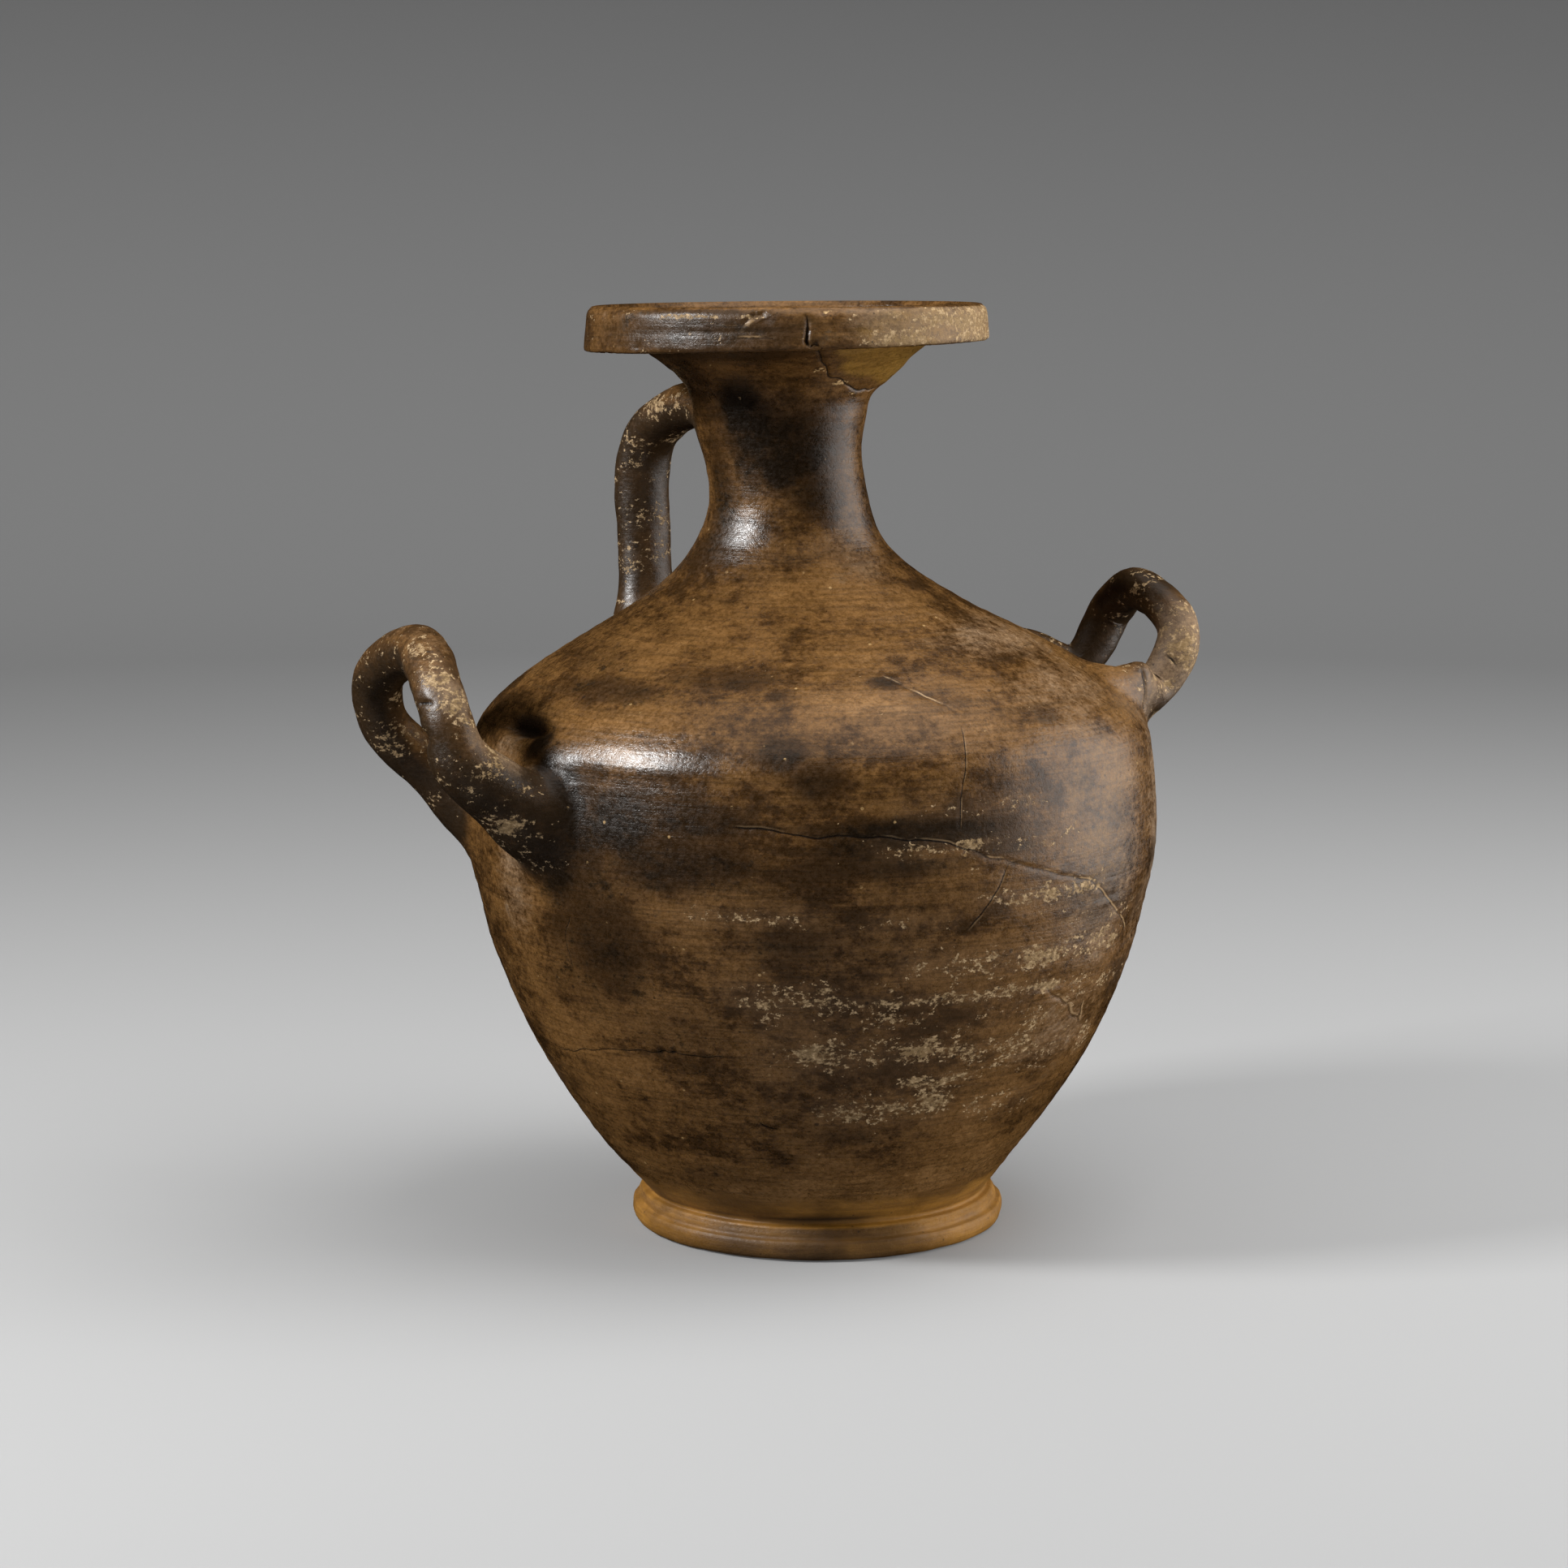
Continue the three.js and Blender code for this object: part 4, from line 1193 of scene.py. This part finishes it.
def broken_skin(tree, at, below):
    """Pinholes and cracks, which look black inside, and the pale lips where the slip broke off."""
    holes = add(tree, "Math", {0: stepped(tree, at, {"pinholes": 1.0}, 0.08, 0.05),
                               1: stepped(tree, at, {"pits": 1.0}, 0.055, 0.04)},
                operation="MAXIMUM")
    crack, lip = at["crack_run"], at["crack_lip"]
    for part in (stepped(tree, at, {"off_crack": 1.0}, 0.42, 0.16),
                 stepped(tree, at, {"crack_lip": 1.0}, 0.3, 1.0, 1.0, 0.35)):
        crack = add(tree, "Math", {0: crack, 1: part}, operation="MULTIPLY")
    for part in (stepped(tree, at, {"crack_side": 1.0}, 0.25, 0.45),
                 stepped(tree, at, {"crack_side": 1.0}, 1.15, 0.75),
                 stepped(tree, at, {"edge": 1.0}, 0.40, 0.54)):
        lip = add(tree, "Math", {0: lip, 1: part}, operation="MULTIPLY")
    return laid_over(tree, below, [
        (holes, 0.6, srgb("#150e09")), (lip, 0.7, srgb("#a88a64")), (crack, 0.92, srgb("#140d08")),
    ])


def burnished_earthenware():
    """Smoked earthenware, burnished before firing, with a bare foot and centuries of wear.

    The burnish gives the eye a satin gloss that turns matt where the slip is worn, mended or
    bare. IOR 1.5, roughness 0.2 to 0.4 on the slip and about 0.3 more where it is gone."""
    material = bpy.data.materials.new("burnished_earthenware")
    material.use_nodes = True
    tree = material.node_tree
    tree.nodes.clear()
    at = clay_patterns(tree)
    colour = cleared_slip(tree, at, burnished_slip(tree, at))
    colour, film_and_sheen = soil_film_and_sheen(tree, at, colour)
    colour, scaled = worn_slip(tree, at, colour)
    colour, bare = bare_clay(tree, at, colour)
    colour, filled = plaster_mend(tree, at, colour)
    colour = broken_skin(tree, at, colour)
    colour = laid_over(tree, colour, [(at["cavity"], 0.6, srgb("#2e1f14"))])
    matt = scaled
    for cover in (bare, filled, film_and_sheen):
        matt = add(tree, "Math", {0: matt, 1: cover}, operation="MAXIMUM")
    fired = add(tree, "Math", {0: at["ochre"], 1: at["soot_and_shade"]}, operation="MAXIMUM")
    rough = stepped(tree, at, {"grit": 1.0}, 0.3, 0.7, 0.21, 0.40)
    for part, rougher in ((fired, 0.06), (at["worn"], 0.1), (matt, 0.26)):
        rough = add(tree, "Math", {0: part, 1: rougher, 2: rough}, operation="MULTIPLY_ADD")
    height = 0.0
    for part, raised in ((at["rubbing"], 0.35), (at["grit"], 0.8), (scaled, -0.3)):
        height = add(tree, "Math", {0: part, 1: raised, 2: height}, operation="MULTIPLY_ADD")
    bump = add(tree, "Bump", {"Height": height, "Strength": 0.7, "Distance": 0.35 * MM})
    shader = add(tree, "BsdfPrincipled", {"Base Color": colour, "Roughness": rough, "IOR": 1.5,
                                          "Normal": bump, "Specular IOR Level": 0.5})
    add(tree, "OutputMaterial", {"Surface": shader})
    return material


jar = hydria_clay()
jar.data.materials.append(burnished_earthenware())
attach(jar, "root")
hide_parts("hydria")


# Camera, floor and light
def aimed(obj, place, target):
    """Links a camera or light, at a place in mm, turned towards a target."""
    obj.location = Vector(place) * MM
    obj.rotation_mode = "QUATERNION"
    way = Vector(target) - Vector(place)
    obj.rotation_quaternion = way.to_track_quat("-Z", "Y")
    bpy.context.scene.collection.objects.link(obj)
    return obj


CAMERA_PLACE = Vector((-562.1, -1203.2, 360.8))
CAMERA_WAY = Vector((0.4102, 0.900, -0.1475))
camera_data = bpy.data.cameras.new("camera")
camera_data.sensor_width = 36.0
camera_data.lens = 83.5
camera = aimed(bpy.data.objects.new("camera", camera_data), CAMERA_PLACE,
               CAMERA_PLACE + CAMERA_WAY)
bpy.context.scene.camera = camera

# Soft lamps by name: place, width, height, watts, and whether the clay mirrors them. All are
# turned to the belly's middle.
LAMP_TARGET = (0, 0, 170)
LAMPS = {
    "left_softbox": ((-1130, 20, 880), 300, 270, 22, True),
    "right_softbox": ((1220, -420, 400), 1300, 1500, 13, True),
    "right_fill": ((1000, -800, 380), 1200, 600, 11, False),
    "ceiling_softbox": ((150, -100, 1900), 2000, 1800, 8, True),
    "top_softbox": ((420, -320, 1450), 1000, 900, 16, False),
}


def soft_lamps():
    """Rectangular lamps with soft fronts, round the jar and over it."""
    for name, (place, width, height, watts, mirrored) in LAMPS.items():
        data = bpy.data.lights.new(name, "AREA")
        data.shape = "RECTANGLE"
        data.size, data.size_y = width * MM, height * MM
        data.energy = watts
        lamp = aimed(bpy.data.objects.new(name, data), place, LAMP_TARGET)
        lamp.visible_glossy = mirrored


# A round studio: a level floor that sweeps up into a wall, graded from pale to grey with height, a
# painted fall-off of light.
FLOOR_RADIUS, SWEEP_RADIUS, STUDIO_HEIGHT, GREY_HEIGHT = 1900.0, 1100.0, 2600.0, 1500.0
STUDIO_SIDES, SWEEP_STEPS = 96, 16


def glowing_matt_paint():
    """Matt studio paint, pale at the floor and greyer upwards as a painted fall-off of light, and
    a little lit by itself.
    """
    material = bpy.data.materials.new("glowing_matt_paint")
    material.use_nodes = True
    tree = material.node_tree
    up = add(tree, "SeparateXYZ", {0: add(tree, "TexCoord", out="Object")}, out="Z")
    share = add(tree, "MapRange", {"Value": up, "From Min": 0.0, "From Max": GREY_HEIGHT * MM},
                interpolation_type="SMOOTHSTEP")
    shade = add(tree, "Mix", {0: share, 6: srgb("#959595"), 7: srgb("#424242")}, out=2,
                data_type="RGBA")
    shader = tree.nodes["Principled BSDF"]
    tree.links.new(shade, shader.inputs["Base Color"])
    tree.links.new(shade, shader.inputs["Emission Color"])
    for name, value in (("Emission Strength", 0.22), ("Roughness", 0.95),
                        ("Specular IOR Level", 0.1)):
        shader.inputs[name].default_value = value
    material.cycles.emission_sampling = "NONE"
    return material


def studio():
    """The pale floor with its round sweep, as one turned surface."""
    bend = [(FLOOR_RADIUS + SWEEP_RADIUS * math.sin(t), SWEEP_RADIUS * (1 - math.cos(t)))
            for t in np.linspace(0, math.pi / 2, SWEEP_STEPS)]
    line = [(0.0, 0.0), (FLOOR_RADIUS / 2, 0.0)] + bend + [(bend[-1][0], STUDIO_HEIGHT)]
    points, faces = [], []
    for r, z in line:
        for k in range(STUDIO_SIDES):
            a = 2 * math.pi * k / STUDIO_SIDES
            points.append((r * math.cos(a) * MM, r * math.sin(a) * MM, z * MM))
    for row in range(len(line) - 1):
        for k in range(STUDIO_SIDES):
            a, b = row * STUDIO_SIDES + k, row * STUDIO_SIDES + (k + 1) % STUDIO_SIDES
            faces.append((a, b, b + STUDIO_SIDES, a + STUDIO_SIDES))
    mesh = bpy.data.meshes.new("floor")
    mesh.from_pydata(points, [], faces)
    mesh.shade_smooth()
    mesh.materials.append(glowing_matt_paint())
    floor = bpy.data.objects.new("floor", mesh)
    bpy.context.scene.collection.objects.link(floor)
    floor.visible_glossy = False  # as through a polarising filter: no grey haze on dark slip


def grey_room():
    """Even grey light from above the studio walls."""
    world = bpy.data.worlds.new("grey_room")
    world.use_nodes = True
    background = world.node_tree.nodes["Background"]
    background.inputs["Color"].default_value = srgb("#9a9a9a")
    background.inputs["Strength"].default_value = 0.7
    world.cycles_visibility.glossy = False
    bpy.context.scene.world = world


studio()
grey_room()
soft_lamps()
bpy.context.scene.view_settings.view_transform = "Standard"
